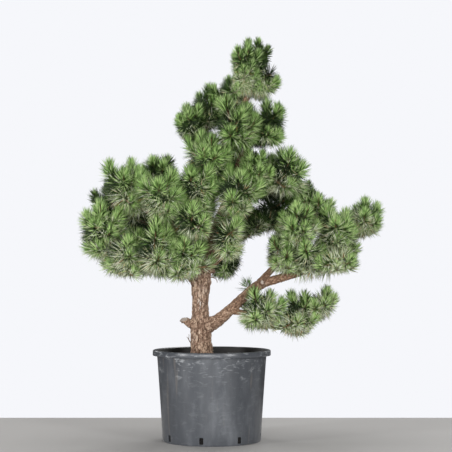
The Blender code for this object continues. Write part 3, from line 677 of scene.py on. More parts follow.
shadeSet = {
    "behind": (0.02, 0.08),   # the crown's depth, in y, over which shade sets in
    "lit": (0.05, 0.01),      # how far behind its own middle a mass is in the light again
    "crowd": (1.2, 2.6, 0.8),     # softness, the fullness from which needles shade each other, how much
    "front": (-0.09, 0.0, 0.12),  # the y where this begins to count and counts in full, and the least of it
    "low": (0.25, 0.55, 0.4),     # the same for the height of a mass and all shade so far
    "heart": (0.38, 0.23),    # how far out of its mass's middle a needle has light, from some to none
}
# behind the middle of the crown lies a hollow that the light never reaches
hollow = {"centre": (0.150, 0.030, 0.630), "size": (0.085, 0.075, 0.060), "edge": (1.15, 0.85)}


def deal(chance, hand):  # the look that each needle gets out of a hand
    numbers = np.array([toneNumber[name] for name, _ in hand])
    return numbers[np.searchsorted([limit for _, limit in hand], chance, side="right")]


def shadeOn(base, centre, size):  # how likely a needle is to be dark with shade
    y = base[:, 1]
    deep = fade(y, *shadeSet["behind"]) * fade(y - centre[1], *shadeSet["lit"])
    softness, crowd, strength = shadeSet["crowd"]
    crowded = strength * (fullness(base, softness) - crowd)
    start, end, least = shadeSet["front"]
    deep = deep + crowded * np.clip((y - start) / (end - start), least, 1)
    start, end, least = shadeSet["low"]
    deep = deep * min(1.0, max(least, (centre[2] - start) / (end - start)))
    inside = np.linalg.norm((base - np.array(centre)) / np.array(size), axis=1)
    dim = np.linalg.norm((base - np.array(hollow["centre"])) / np.array(hollow["size"]), axis=1)
    for away, (light, dark) in ((inside, shadeSet["heart"]), (dim, hollow["edge"])):
        deep = np.maximum(deep, (light - away) / (light - dark))
    return deep


def needleLooks(share, base, shoot, rule):
    # deals a look to each needle: young and green at the tips of the upper sprays, pale and dry below
    # painted shade darkens needles deep in the crown, on the highest masses and at their feet; painted light
    # pales the lowest masses
    s = toneSet
    count = len(share)
    _, _, centre, size = masses[shoot["mass"]]
    height = (base[:, 2] - centre[2]) / size[2]
    light = s["toBud"] * share + s["upMass"] * height + s["light"] + s["sprays"] * (shoot["seed"] - 0.5)
    light = light + rule.normal(0, s["needles"], count) + s["upCrown"] * (centre[2] - s["crownMiddle"])
    chance = rule.uniform(0, 1, count)
    young, older, pale = [deal(chance, hands[name]) for name in ("young", "older", "pale")]
    look = np.where(light > s["young"], young, np.where(light > s["older"], older, pale))
    look = np.where((chance > s["dry"]) & (share < 0.5), toneNumber["dry"], look)
    # painted shade on the highest masses and painted light on the lowest, by the height of each mass
    start, span = s["top"]
    rise = np.clip((centre[2] - start) / span, -1, 1)
    shaded = rule.uniform(0, 1, count) < shadeOn(base, centre, size) + s["topShade"] * max(0.0, rise)
    paintedLight = rule.uniform(0, 1, count) < -s["lowPaintedLight"] * rise
    green = look < toneNumber["leaf"]
    look = np.where(paintedLight & (look == toneNumber["pale"]), toneNumber["silvery"], look)
    look = np.where(paintedLight & green, toneNumber["spring"], look)
    look = np.where(shaded, np.where(green, toneNumber["deep"], toneNumber["shade"]), look)
    # painted shade: each needle's foot takes a darker look, except on young needles near the bud
    foot = np.array([toneNumber[name] for _, name in needleTones.values()])[look]
    foot = np.where((share > s["plain"]) & (look < toneNumber["deep"]), look, foot)
    return np.stack((foot, look) * 3, axis=1)


def tubeMesh(paths, radii, sides):  # closed tubes: paths are (count, rings, 3) and radii (count, rings)
    count, rings, _ = paths.shape
    along = np.gradient(paths, axis=1).reshape(-1, 3)
    side, other = squareTo(unit(along))
    side = side.reshape(count, rings, 1, 3)
    other = other.reshape(count, rings, 1, 3)
    angle = (math.tau * np.arange(sides) / sides)[None, None, :, None]
    points = paths[:, :, None] + (side * np.cos(angle) + other * np.sin(angle)) * radii[:, :, None, None]
    faces = []
    for k in range(rings - 1):
        for s in range(sides):
            low = k * sides
            high = low + sides
            n = (s + 1) % sides
            faces += [(low + s, low + n, high + n), (low + s, high + n, high + s)]
    last = (rings - 1) * sides
    for s in range(1, sides - 1):
        faces += [(0, s + 1, s), (last, last + s, last + s + 1)]
    return points.reshape(-1, 3), repeatFaces(faces, count, rings * sides), len(faces)


def makeFoliage(shapes):
    # the needles' skin has a soft waxy sheen; each colour is one age of needle
    palette = [newMaterial("needle_" + name, colour, 0.45, {"Specular IOR Level": 0.28})
               for name, (colour, _) in needleTones.items()]
    stems = {name: stemShape(name, shapes) for name in masses}
    limbTree = roomTree(shapes.values())
    taken = []
    shoots = []
    total = 0
    for name in masses:
        own = growShoots(name, stems[name], limbTree, taken)
        shoots.extend(own)
        rule = np.random.default_rng(len(shoots))
        parts = []
        for number, shoot in enumerate(own):
            base, middle, tip, share, _ = shootNeedles(shoot, number)
            keep, middle, tip = keepNeedles(base, middle, tip, shoot, limbTree)
            looks = needleLooks(share, base, shoot, rule)
            parts.append([a[keep] for a in (base, middle, tip, looks)])
        base, middle, tip, looks = [np.concatenate([part[k] for part in parts]) for k in range(4)]
        points, triangles = needleMesh(base, middle, tip, rule.uniform(0, 2, len(base)))
        piece = meshFromArrays("needles_" + name, points, triangles, looks.ravel(), palette)
        dress(piece, "needles", name)
        total += len(triangles)
    print("needles:", len(shoots), "shoots,", total, "triangles")
    return stems, shoots


twigSet = {"rings": 8, "sides": 6, "foot": 0.0022, "end": 0.0013, "stemSides": 9}
dryTwigs = [  # small dead twigs on the trunk: path and radii
    ([(-0.055, -0.006, 0.262), (-0.060, -0.008, 0.268), (-0.064, -0.010, 0.276), (-0.068, -0.010, 0.280)],
     (0.0018, 0.0014, 0.0011, 0.0007)),
    ([(-0.061, -0.009, 0.270), (-0.062, -0.014, 0.277), (-0.061, -0.017, 0.284), (-0.062, -0.018, 0.288)],
     (0.0010, 0.0009, 0.0008, 0.0006)),
    ([(-0.012, -0.004, 0.4420), (0.006, -0.010, 0.4400), (0.013, -0.013, 0.434), (0.015, -0.014, 0.427)],
     (0.0020, 0.0015, 0.0012, 0.0008)),
]


def makeTwigs(stems, shoots):
    rule = np.random.default_rng(7)
    shares = np.linspace(0, 1, twigSet["rings"])
    paths = np.array([bend(shoot["points"], shares)[0] for shoot in shoots])
    thin = np.linspace(twigSet["foot"], twigSet["end"], twigSet["rings"])
    radii = thin[None] * rule.uniform(0.85, 1.15, paths.shape[:2])
    points, triangles, each = tubeMesh(paths, radii, twigSet["sides"])
    looks = np.repeat(rule.integers(0, 2, len(shoots)), each)
    stemPaths = np.array([[tuple(p) for p in path] for path, _ in stems.values()])
    stemRadii = np.array([r for _, r in stems.values()])
    stemRadii = stemRadii * rule.uniform(0.93, 1.10, stemRadii.shape)
    stemPoints, stemTriangles, _ = tubeMesh(stemPaths, stemRadii, twigSet["stemSides"])
    dryPaths = np.array([[tuple(p) for p in evenPath(path, twigSet["rings"])] for path, _ in dryTwigs])
    dryRadii = np.array([np.interp(shares, np.linspace(0, 1, len(thick)), thick) for _, thick in dryTwigs])
    dryPoints, dryTriangles, _ = tubeMesh(dryPaths, dryRadii, twigSet["sides"])
    stemTriangles = stemTriangles + len(points)
    dryTriangles = dryTriangles + len(points) + len(stemPoints)
    grey = np.full(len(stemTriangles) + len(dryTriangles), 2)
    # young bark is smooth and a little waxy, older bark dull
    palette = [
        newMaterial("shoot_bark_tan", "#8f7150", 0.75),
        newMaterial("shoot_bark_brown", "#77593f", 0.78),
        newMaterial("stem_bark_grey", "#6c5847", 0.85),
    ]
    piece = meshFromArrays("twigs", np.concatenate((points, stemPoints, dryPoints)),
                           np.concatenate((triangles, stemTriangles, dryTriangles)),
                           np.concatenate((looks, grey)), palette)
    dress(piece, "bark")
    print("twigs:", len(piece.data.polygons), "triangles")


sprig = {"foot": (0.100, -0.030, 0.402), "bud": (0.095, -0.040, 0.424), "growth": (-0.35, -0.30, 0.88),
         "pairs": 26, "length": 0.040}


def makeSprig():  # the one tuft of needles that sits straight on the long bough
    foot, bud = Vector(sprig["foot"]), Vector(sprig["bud"])
    growth = Vector(sprig["growth"]).normalized()
    shoot = {"points": (foot, foot.lerp(bud, 0.4), bud - growth * 0.008, bud), "growth": growth,
             "radial": growth, "scale": sprig["length"] / needleSet["long"], "seed": 0.4}
    base, middle, tip, _, way = shootNeedles(shoot, 1)
    step = len(base) // (2 * sprig["pairs"])
    keep = (way[:, 2] > -0.1) & (np.arange(len(base)) % step == 0)
    number = np.arange(keep.sum())
    looks = np.where(number % 3 == 0, toneNumber["green"], toneNumber["deep"])
    points, triangles = needleMesh(base[keep], middle[keep], tip[keep], number)
    palette = [bpy.data.materials["needle_" + name] for name in needleTones]
    piece = meshFromArrays("needles_sprig", points, triangles, np.repeat(looks, 6), palette)
    dress(piece, "needles")


budSet = {"heights": (0.0, 0.0030, 0.0066, 0.0100), "radii": (0.0012, 0.0023, 0.0019, 0.0003), "sides": 6}


def makeBuds(shoots):
    rule = np.random.default_rng(11)
    growth = np.array([shoot["growth"] for shoot in shoots])
    buds = np.array([shoot["points"][3] for shoot in shoots])
    size = rule.uniform(0.75, 1.2, len(shoots))[:, None, None]
    heights = np.array(budSet["heights"])[None, :, None] * size
    paths = buds[:, None] + growth[:, None] * (heights - 0.001)
    radii = (np.array(budSet["radii"])[None, :, None] * size)[:, :, 0]
    points, triangles, each = tubeMesh(paths, radii, budSet["sides"])
    looks = np.repeat(rule.integers(0, 2, len(shoots)), each)
    # dry bud scales, some shiny with resin
    palette = [
        newMaterial("bud_scales_red", "#84583f", 0.5),
        newMaterial("bud_scales_resin", "#a9826a", 0.4),
    ]
    piece = meshFromArrays("buds", points, triangles, looks, palette)
    dress(piece, "bark")
    print("buds:", len(triangles), "triangles")


# bark: every limb as one skin with the plates and cracks of pine bark

barkSet = {
    "pieces": {  # the voxel size and the limbs of each skin
        "bark_trunk": (0.00150, ("trunk", "right_bough", "low_bough", "left_bough")),
        "bark_boughs": (0.00165, ("right_fork", "right_riser", "low_twig", "left_low_bough",
                                  "left_back_bough", "centre_bough", "crown_bough", "back_bough",
                                  "mid_bough", "tier_left_bough")),
    },
    "plateWide": 0.0058,      # plates on the trunk are 6 to 9 mm wide and more than twice as long
    "plateLong": 0.0135,
    "seed": 5,                # of the noise by which their edges wander
    "warp": 0.42,             # how far the plates' edges wander
    "crack": (0.20, 1.5),     # the width of a crack next to a plate, and how sharply it falls in
    "crackDepth": 0.0026,
    "plateStep": 0.0013,      # how much one plate stands above the next
    "slope": 0.7,             # how much a plate leans out at its lower end
    "flakes": (2.6, 0.35),    # small flakes: how many across a plate, and the width of their edges
    "flakeDepth": 0.0009,
    "roughness": 0.0005,      # of the plates' own crumbly skin
    "crumbs": 300,            # a crumb is about a 300th of a metre wide
    "thickest": 0.027,        # the limb radius that has the relief in full
    "thinnest": 0.16,         # the share of that radius from which on the relief gets no finer
    "young": (0.021, 0.012),  # the limb radii between which bark turns to young, brown bark, darker too, which also stands for painted shade on the boughs' far, thin parts
    "sunk": 0.006,            # how far the foot goes into the growing mix
}
# a grey scar on the trunk's front, where its outer bark has come off
scarSet = {"centre": (-0.030, -0.030, 0.354), "size": (0.013, 0.030, 0.034), "strength": 0.8}
stubs = [  # short stubs on the trunk and the long bough: path and radii
    ([(-0.030, 0.000, 0.3040), (-0.056, -0.003, 0.3140), (-0.070, -0.005, 0.3225), (-0.0850, -0.006, 0.3300)],
     (0.0175, 0.0140, 0.0115, 0.0085)),
    ([(-0.020, 0.000, 0.4480), (-0.004, -0.004, 0.4560), (0.009, -0.006, 0.4600)], (0.0090, 0.0078, 0.0064)),
    ([(0.128, -0.024, 0.4210), (0.136, -0.038, 0.4270), (0.139, -0.043, 0.4290)], (0.0105, 0.0082, 0.0070)),
    ([(-0.036, 0.000, 0.4150), (-0.051, -0.004, 0.4290), (-0.060, -0.005, 0.4370)], (0.0130, 0.0105, 0.0070)),
    ([(-0.022, 0.000, 0.4120), (-0.010, -0.005, 0.4240), (-0.0035, -0.007, 0.4330)],
     (0.0120, 0.0100, 0.0066)),
]
cuts = [  # sawn faces: a point on the face, which way it looks, and its radius
    ((-0.0757, -0.0060, 0.3282), (-0.34, -0.50, 0.80), 0.0170),
    ((0.0095, -0.0060, 0.4602), (0.85, -0.25, 0.40), 0.0095),
    ((0.1385, -0.0420, 0.4288), (0.30, -0.93, 0.22), 0.0090),
]


def limbTube(name, path, radii):
    curve = bpy.data.curves.new(name, "CURVE")
    curve.dimensions = "3D"
    curve.bevel_depth = 1.0
    curve.bevel_resolution = 6
    curve.use_fill_caps = True
    spline = curve.splines.new("POLY")
    spline.points.add(len(path) - 1)
    for point, place, radius in zip(spline.points, path, radii):
        point.co = (*place, 1)
        point.radius = radius
    tube = bpy.data.objects.new(name, curve)
    bpy.context.scene.collection.objects.link(tube)
    pick(tube)
    bpy.ops.object.convert(target="MESH")
    tube = bpy.context.object
    bpy.ops.object.mode_set(mode="EDIT")
    bpy.ops.mesh.select_all(action="SELECT")
    bpy.ops.mesh.remove_doubles(threshold=0.00001)
    bpy.ops.mesh.normals_make_consistent(inside=False)
    bpy.ops.object.mode_set(mode="OBJECT")
    return tube


def limbSkin(pieceName, voxel, names, shapes):  # the limbs as tubes, run together into one closed skin
    tubes = []
    for name in names:
        path, radii = shapes[name]
        if name == "trunk":
            path = [path[0] - up * barkSet["sunk"]] + path
            radii = [radii[0] + 0.001] + radii
        tubes.append(limbTube(name + "_tube", path, radii))
    if "trunk" in names:
        for path, radii in stubs:
            thick = np.interp(np.linspace(0, 1, 12), np.linspace(0, 1, len(radii)), radii)
            tubes.append(limbTube("stub_tube", evenPath(path, 12), list(thick)))
    pick(*tubes)
    bpy.ops.object.join()
    skin = bpy.context.object
    skin.name = skin.data.name = pieceName
    useModifier(skin, "REMESH", {"mode": "VOXEL", "voxel_size": voxel})
    useModifier(skin, "SMOOTH", {"factor": 0.5, "iterations": 6})
    return skin


def straighten(points, names, shapes):
    # for each point: its place on a straightened limb, and the limb's radius there
    best = np.full(len(points), 1e9)
    places = np.zeros((len(points), 3))
    radii = np.zeros(len(points))
    for number, name in enumerate(names):
        path, thick = shapes[name]
        line = np.array([tuple(p) for p in path])
        thick = np.array(thick)
        fine = np.linspace(0, len(line) - 1, 4 * len(line))
        whole = np.minimum(fine.astype(int), len(line) - 2)
        part = (fine - whole)[:, None]
        axis = unit(np.gradient(line, axis=0))
        way = unit(axis[whole] * (1 - part) + axis[whole + 1] * part)
        line = line[whole] * (1 - part) + line[whole + 1] * part
        thick = thick[whole] * (1 - part[:, 0]) + thick[whole + 1] * part[:, 0]
        along = np.concatenate(([0], np.cumsum(np.linalg.norm(np.diff(line, axis=0), axis=1))))
        side, other = squareTo(way)
        for first in range(0, len(points), 20000):  # a part of the points at a time, to spare memory
            some = points[first:first + 20000]
            gaps = np.linalg.norm(some[:, None] - line[None], axis=2)
            nearest = gaps.argmin(axis=1)
            score = gaps[np.arange(len(some)), nearest] - thick[nearest]
            closer = np.flatnonzero(score < best[first:first + 20000])
            near = nearest[closer]
            rows = first + closer
            best[rows] = score[closer]
            away = some[closer] - line[near]
            places[rows, 0] = (away * side[near]).sum(axis=1)
            places[rows, 1] = (away * other[near]).sum(axis=1)
            places[rows, 2] = along[near] + (away * way[near]).sum(axis=1) + 0.7 * number
            radii[rows] = thick[near]
    return places, radii


def plates(places, radii):  # height of the bark, how much of a crack each point is, each plate's own tone
    b = barkSet
    heights = np.zeros(len(places))
    cracks = np.zeros(len(places))
    tones = np.zeros(len(places))
    crackWide, crackSharp = b["crack"]
    flakes, flakeWide = b["flakes"]
    for k, (place, radius) in enumerate(zip(places, radii)):
        share = min(max(radius / b["thickest"], b["thinnest"]), 1.0)  # thin limbs: small and shallow plates
        at = Vector((place[0] / b["plateWide"], place[1] / b["plateWide"], place[2] / b["plateLong"]))
        at /= share ** 0.55
        at += noise.noise_vector(at * 0.9) * b["warp"]
        gaps, centres = noise.voronoi(at)
        crack = max(0.0, 1 - (gaps[1] - gaps[0]) / crackWide) ** crackSharp
        tone = noise.cell(centres[0] * 7.31)
        fine = noise.voronoi(at * flakes)[0]
        flake = max(0.0, 1 - (fine[1] - fine[0]) / flakeWide)
        rough = noise.fractal(Vector(place) * b["crumbs"], 0.8, 2.0, 4)
        height = b["plateStep"] * (tone - 0.5 - b["slope"] * (at.z - centres[0].z)) - b["crackDepth"] * crack
        height += b["roughness"] * rough - b["flakeDepth"] * flake * (1 - crack)
        heights[k] = height * (0.25 + 0.75 * share)
        cracks[k] = min(1.0, crack + 0.35 * flake)
        tones[k] = tone
    return heights, cracks, tones


def sawCuts(points):  # flattens the sawn faces, and says which points lie on them
    sawn = np.zeros(len(points))
    level = -0.0006  # a face is cut this far off its own point
    for centre, way, wide in cuts:
        way = unit(np.array([way]))[0]
        away = points - np.array(centre)
        rise = away @ way
        flat = np.linalg.norm(away - rise[:, None] * way, axis=1)
        proud = (rise > level) & (flat < wide * 1.5) & (rise < 0.02)
        points[proud] -= (rise[proud] - level)[:, None] * way
        sawn[proud] = 1.0
    return sawn


def barkMaterial():
    # pine bark: dry dead cork in plates, matt, tan on the plates and dark in the cracks
    bark = newMaterial("pine_bark_plates", "#8a6f57", 0.88)
    place, crack, tone, young, sawn, scar = [
        addNode(bark, "Attribute", {"attribute_name": name})
        for name in ("limbPlace", "crack", "plateTone", "young", "sawn", "scar")]
    mottle = addNode(bark, "TexNoise", {"Scale": 170.0, "Detail": 6.0, "Roughness": 0.75},
                     {"Vector": (place, "Vector")})  # mottling about 6 mm across
    toned = addNode(bark, "Math", {"operation": "MULTIPLY_ADD", 1: 2.1, 2: -0.80}, {0: (mottle, "Fac")})
    mixed = addNode(bark, "Math", {"operation": "MULTIPLY_ADD", 1: 0.28},
                    {0: (tone, "Fac"), 2: (toned, "Value")})
    level = addNode(bark, "Math", {"operation": "ADD", 1: 0.12}, {0: (mixed, "Value")})
    old = setRamp(addNode(bark, "ValToRGB", links={"Fac": (level, "Value")}), [
        (0.05, "#6a5141"), (0.28, "#947866"), (0.50, "#b1967f"), (0.78, "#c1aa96"), (1.0, "#d3c3b2")])
    # young bark on thin limbs, browner and darker: partly its own colour, partly painted shade on the far
    # parts of the boughs
    fresh = setRamp(addNode(bark, "ValToRGB", links={"Fac": (level, "Value")}), [
        (0.10, "#6a4d3c"), (0.40, "#917059"), (0.66, "#ad8e74"), (1.0, "#c9ae94")])
    aged = addNode(bark, "Mix", {"data_type": "RGBA"},
                   {"Factor": (young, "Fac"), 6: (old, "Color"), 7: (fresh, "Color")})
    patch = addNode(bark, "TexNoise", {"Scale": 26.0, "Detail": 3.0, "Roughness": 0.55},
                    {"Vector": (place, "Vector")})  # pale patches of bare, weathered cork, about 40 mm across
    patchRamp = setRamp(addNode(bark, "ValToRGB", links={"Fac": (patch, "Fac")}), [
        (0.58, "#000000"), (0.70, "#8a8a8a")])
    bare = addNode(bark, "Math", {"operation": "MAXIMUM"}, {0: (patchRamp, "Color"), 1: (scar, "Fac")})
    pale = addNode(bark, "Mix", {"data_type": "RGBA", 7: linear("#cdc4bc")},
                   {"Factor": (bare, "Value"), 6: (aged, 2)})
    dark = addNode(bark, "Mix", {"data_type": "RGBA", 7: linear("#44301f")},
                   {"Factor": (crack, "Fac"), 6: (pale, 2)})
    rings = addNode(bark, "TexNoise", {"Scale": 900.0, "Detail": 3.0}, {"Vector": (place, "Vector")})
    wood = setRamp(addNode(bark, "ValToRGB", links={"Fac": (rings, "Fac")}), [
        (0.35, "#8b8078"), (0.65, "#b9aca0")])  # grain of weathered wood, about 1 mm
    final = addNode(bark, "Mix", {"data_type": "RGBA"},
                    {"Factor": (sawn, "Fac"), 6: (dark, 2), 7: (wood, "Color")})
    feedShader(bark, "Base Color", final, 2)
    grain = addNode(bark, "TexNoise", {"Scale": 1500.0, "Detail": 4.0}, {"Vector": (place, "Vector")})
    bump = addNode(bark, "Bump", {"Strength": 0.5, "Distance": 0.0004}, {"Height": (grain, "Fac")})
    feedShader(bark, "Normal", bump, "Normal")
    return bark


def makeBark(shapes):
    noise.seed_set(barkSet["seed"])  # without it the plates would differ from run to run
    material = barkMaterial()
    for pieceName, (voxel, names) in barkSet["pieces"].items():
        skin = limbSkin(pieceName, voxel, names, shapes)
        mesh = skin.data
        flat = np.empty(len(mesh.vertices) * 3, np.float32)
        mesh.vertices.foreach_get("normal", flat)
        normals = flat.reshape(-1, 3).copy()
        mesh.vertices.foreach_get("co", flat)
        points = flat.reshape(-1, 3).astype(float)
        places, radii = straighten(points, names, shapes)
        heights, cracks, tones = plates(places, radii)
        points = points + normals * heights[:, None]
        sawn = sawCuts(points)
        mesh.vertices.foreach_set("co", points.astype(np.float32).ravel())
        away = np.linalg.norm((points - np.array(scarSet["centre"])) / np.array(scarSet["size"]), axis=1)
        scar = fade(away, 1.1, 0.6) * np.clip(2.2 * tones - 0.5, 0, 1) * scarSet["strength"]
        values = {"crack": cracks * (1 - sawn), "plateTone": tones, "young": fade(radii, *barkSet["young"]),
                  "sawn": sawn, "scar": scar}
        for label, value in values.items():
            mesh.attributes.new(label, "FLOAT", "POINT").data.foreach_set("value", value.astype(np.float32))
        mesh.attributes.new("limbPlace", "FLOAT_VECTOR", "POINT").data.foreach_set(
            "vector", places.astype(np.float32).ravel())
        mesh.update()
        mesh.shade_smooth()
        mesh.materials.clear()
        mesh.materials.append(material)
        dress(skin, "bark", *names)
        print(pieceName, 2 * len(mesh.polygons), "triangles")


# pot: injection-moulded recycled plastic

potSet = {
    "rim": 0.160, "shoulder": 0.1485, "foot": 0.133, "height": 0.245, "wall": 0.0026,
    "floor": 0.0035, "lip": 0.0145, "sides": 144,
    "slots": 8, "slotWide": 0.0105, "slotLow": 0.005, "slotHigh": 0.0225, "slotTurn": math.radians(-101.3),
}


def potPlastic():
    # recycled polypropylene: satin, blue-grey black, with faint dusty smears and soft dents from the mould
    plastic = newMaterial("moulded_recycled_polypropylene", "#484b4f", 0.34)
    coords = addNode(plastic, "TexCoord")
    smear = addNode(plastic, "Mapping", {"Scale": (1.0, 1.0, 0.35)}, {"Vector": (coords, "Object")})
    cloud = addNode(plastic, "TexNoise", {"Scale": 22.0, "Detail": 6.0, "Roughness": 0.62},
                    {"Vector": (smear, "Vector")})  # smears of dust, 30 to 60 mm across
    shade = setRamp(addNode(plastic, "ValToRGB", links={"Fac": (cloud, "Fac")}), [
        (0.28, "#3b3e43"), (0.50, "#474a4f"), (0.72, "#5c5f64")])
    dust = addNode(plastic, "TexNoise", {"Scale": 480.0, "Detail": 2.0}, {"Vector": (coords, "Object")})
    specks = setRamp(addNode(plastic, "ValToRGB", links={"Fac": (dust, "Fac")}), [
        (0.70, "#000000"), (0.78, "#b0b0b0")])  # dust specks of about 2 mm
    colour = addNode(plastic, "Mix", {"data_type": "RGBA", 7: linear("#8f8d88")},
                     {"Factor": (specks, "Color"), 6: (shade, "Color")})
    # whitish patches in a band under the rim, stronger towards the top: a painted highlight, with scuffs
    # where the pot was gripped
    flow = addNode(plastic, "Mapping", {"Scale": (1.0, 1.0, 2.6), "Rotation": (0.25, 0.15, 0.0)},
                   {"Vector": (coords, "Object")})
    rubAndGlint = addNode(plastic, "TexNoise", {"Scale": 36.0, "Detail": 6.0, "Roughness": 0.62, "Distortion": 0.7},
                  {"Vector": (flow, "Vector")})  # painted highlight patches and scuffs 10 to 20 mm long
    rubbedAndHighlit = setRamp(addNode(plastic, "ValToRGB", links={"Fac": (rubAndGlint, "Fac")}), [
        (0.55, "#000000"), (0.68, "#ffffff")])
    parts = addNode(plastic, "SeparateXYZ", links={"Vector": (coords, "Object")})
    highlightBand = addNode(plastic, "MapRange",
                   {"From Min": 0.160, "From Max": 0.220, "To Min": 0.08, "To Max": 0.66},
                   {"Value": (parts, "Z")})
    scuffAndHighlight = addNode(plastic, "Math", {"operation": "MULTIPLY"}, {0: (rubbedAndHighlit, "Color"), 1: (highlightBand, "Result")})
    scuffedAndHighlit = addNode(plastic, "Mix", {"data_type": "RGBA", 7: linear("#a9acaf")},
                      {"Factor": (scuffAndHighlight, "Value"), 6: (colour, 2)})
    # thin streaks of lime and rust that ran down from the rim with the water
    runs = addNode(plastic, "Mapping", {"Scale": (1.0, 1.0, 0.05)}, {"Vector": (coords, "Object")})
    drops = addNode(plastic, "TexNoise", {"Scale": 75.0, "Detail": 3.0}, {"Vector": (runs, "Vector")})
    streak = setRamp(addNode(plastic, "ValToRGB", links={"Fac": (drops, "Fac")}), [
        (0.62, "#000000"), (0.70, "#7a7a7a")])
    streaked = addNode(plastic, "Mix", {"data_type": "RGBA", 7: linear("#8d8379")},
                       {"Factor": (streak, "Color"), 6: (scuffedAndHighlit, 2)})
    feedShader(plastic, "Base Color", streaked, 2)
    rough = addNode(plastic, "MapRange", {"To Min": 0.25, "To Max": 0.36}, {"Value": (cloud, "Fac")})
    feedShader(plastic, "Roughness", rough, "Result")
    dents = addNode(plastic, "TexNoise", {"Scale": 9.0, "Detail": 2.0}, {"Vector": (smear, "Vector")})
    grain = addNode(plastic, "TexNoise", {"Scale": 700.0, "Detail": 2.0}, {"Vector": (coords, "Object")})
    soft = addNode(plastic, "Bump", {"Strength": 0.35, "Distance": 0.004}, {"Height": (dents, "Fac")})
    fine = addNode(plastic, "Bump", {"Strength": 0.12, "Distance": 0.0003},
                   {"Height": (grain, "Fac"), "Normal": (soft, "Normal")})
    feedShader(plastic, "Normal", fine, "Normal")
    return plastic


def cutSlots(body):  # the slots round the foot, one cutter turned to each place
    p = potSet
    deselect()
    middle = (p["slotLow"] + p["slotHigh"]) / 2
    bpy.ops.mesh.primitive_cube_add(size=1, location=(p["foot"], 0, middle))
    cutter = bpy.context.object
    cutter.scale = (0.03, p["slotWide"], p["slotHigh"] - p["slotLow"])
    settle(cutter)
    useModifier(cutter, "BEVEL", {"width": 0.0012, "segments": 2})
    for k in range(p["slots"]):
        turned = cutter.copy()
        turned.data = cutter.data.copy()
        turned.rotation_euler = (0, 0, p["slotTurn"] + k * math.tau / p["slots"])
        bpy.context.scene.collection.objects.link(turned)
        useModifier(body, "BOOLEAN", {"object": turned, "operation": "DIFFERENCE", "solver": "EXACT"})
        bpy.data.objects.remove(turned)
    bpy.data.objects.remove(cutter)


def makePot():
    p = potSet
    top = p["height"]
    lipFoot = top - p["lip"]
    chain = [  # radius and height of each step: up the outside, round the lip and down the inside
        (p["foot"] - 0.0006, 0.0012), (p["foot"], 0.0042), (p["foot"] + 0.0012, 0.0250),
        (p["foot"] + 0.0052, 0.0900), (p["foot"] + 0.0100, 0.1600), (p["shoulder"] - 0.0012, lipFoot - 0.012),
        (p["shoulder"] - 0.0003, lipFoot), (p["shoulder"] + 0.0005, top - p["wall"] - 0.001),
        (p["rim"] - p["wall"], top - p["wall"] - 0.001), (p["rim"] - p["wall"], lipFoot),
        (p["rim"] - 0.0004, lipFoot), (p["rim"], lipFoot + 0.0008), (p["rim"], top - 0.0030),
        (p["rim"] - 0.0010, top - 0.0009), (p["rim"] - 0.0030, top), (p["shoulder"] + 0.0010, top),
        (p["shoulder"] - 0.0012, top - 0.0012), (p["shoulder"] - p["wall"], top - 0.0045),
        (p["foot"] + 0.0052 - p["wall"], 0.0900), (p["foot"] - p["wall"], p["floor"] + 0.003),
        (p["foot"] - p["wall"] - 0.002, p["floor"]),
    ]
    deselect()
    radius, height = p["foot"] - 0.0020, 0.0006
    bpy.ops.mesh.primitive_cylinder_add(vertices=p["sides"], radius=radius, depth=height,
                                        location=(0, 0, height / 2))
    body = bpy.context.object
    body.name = body.data.name = "nursery_pot"
    settle(body)
    selectTop(body)
    for newRadius, newHeight in chain:
        bpy.ops.mesh.extrude_region_move()
        bpy.ops.transform.resize(value=(newRadius / radius, newRadius / radius, 1))
        bpy.ops.transform.translate(value=(0, 0, newHeight - height))
        radius, height = newRadius, newHeight
    bpy.ops.mesh.inset(thickness=0.03)
    bpy.ops.mesh.select_all(action="SELECT")
    bpy.ops.mesh.normals_make_consistent(inside=False)
    bpy.ops.object.mode_set(mode="OBJECT")
    cutSlots(body)
    useModifier(body, "BEVEL", {"width": 0.0005, "segments": 2, "limit_method": "ANGLE",
                                "angle_limit": math.radians(50)})
    pick(body)
    bpy.ops.object.shade_smooth_by_angle(angle=math.radians(35))
    body.data.materials.append(potPlastic())
    # the same plastic inside, matt and almost black: painted shade inside the pot
    body.data.materials.append(newMaterial("inner_polypropylene_painted_shade", "#1c1b1a", 0.7))
    for face in body.data.polygons:
        outward = Vector((face.center.x, face.center.y, 0))
        inside = face.normal.dot(outward.normalized()) < -0.3 and face.center.z > 0.01
        if inside and outward.length < p["shoulder"] - 0.0008:
            face.material_index = 1
    dress(body, "pot_plastic", "pot")
    print("pot made")


# growing mix: dark composted bark and peat with coarse chips on top

mixSet = {
    "level": 0.2100, "bottom": 0.0042, "sides": 96, "rings": 15, "bumps": 0.0050,
    "chips": 1500, "chipLong": (0.004, 0.013),
    "chipWide": (0.35, 0.8), "chipThick": (0.15, 0.35),  # as shares of a chip's length
    "chipLift": (-0.0005, 0.0030),                       # how high it lies above the bed
    "trunkRoom": 0.036,                                  # how far it lies from the trunk's middle
}


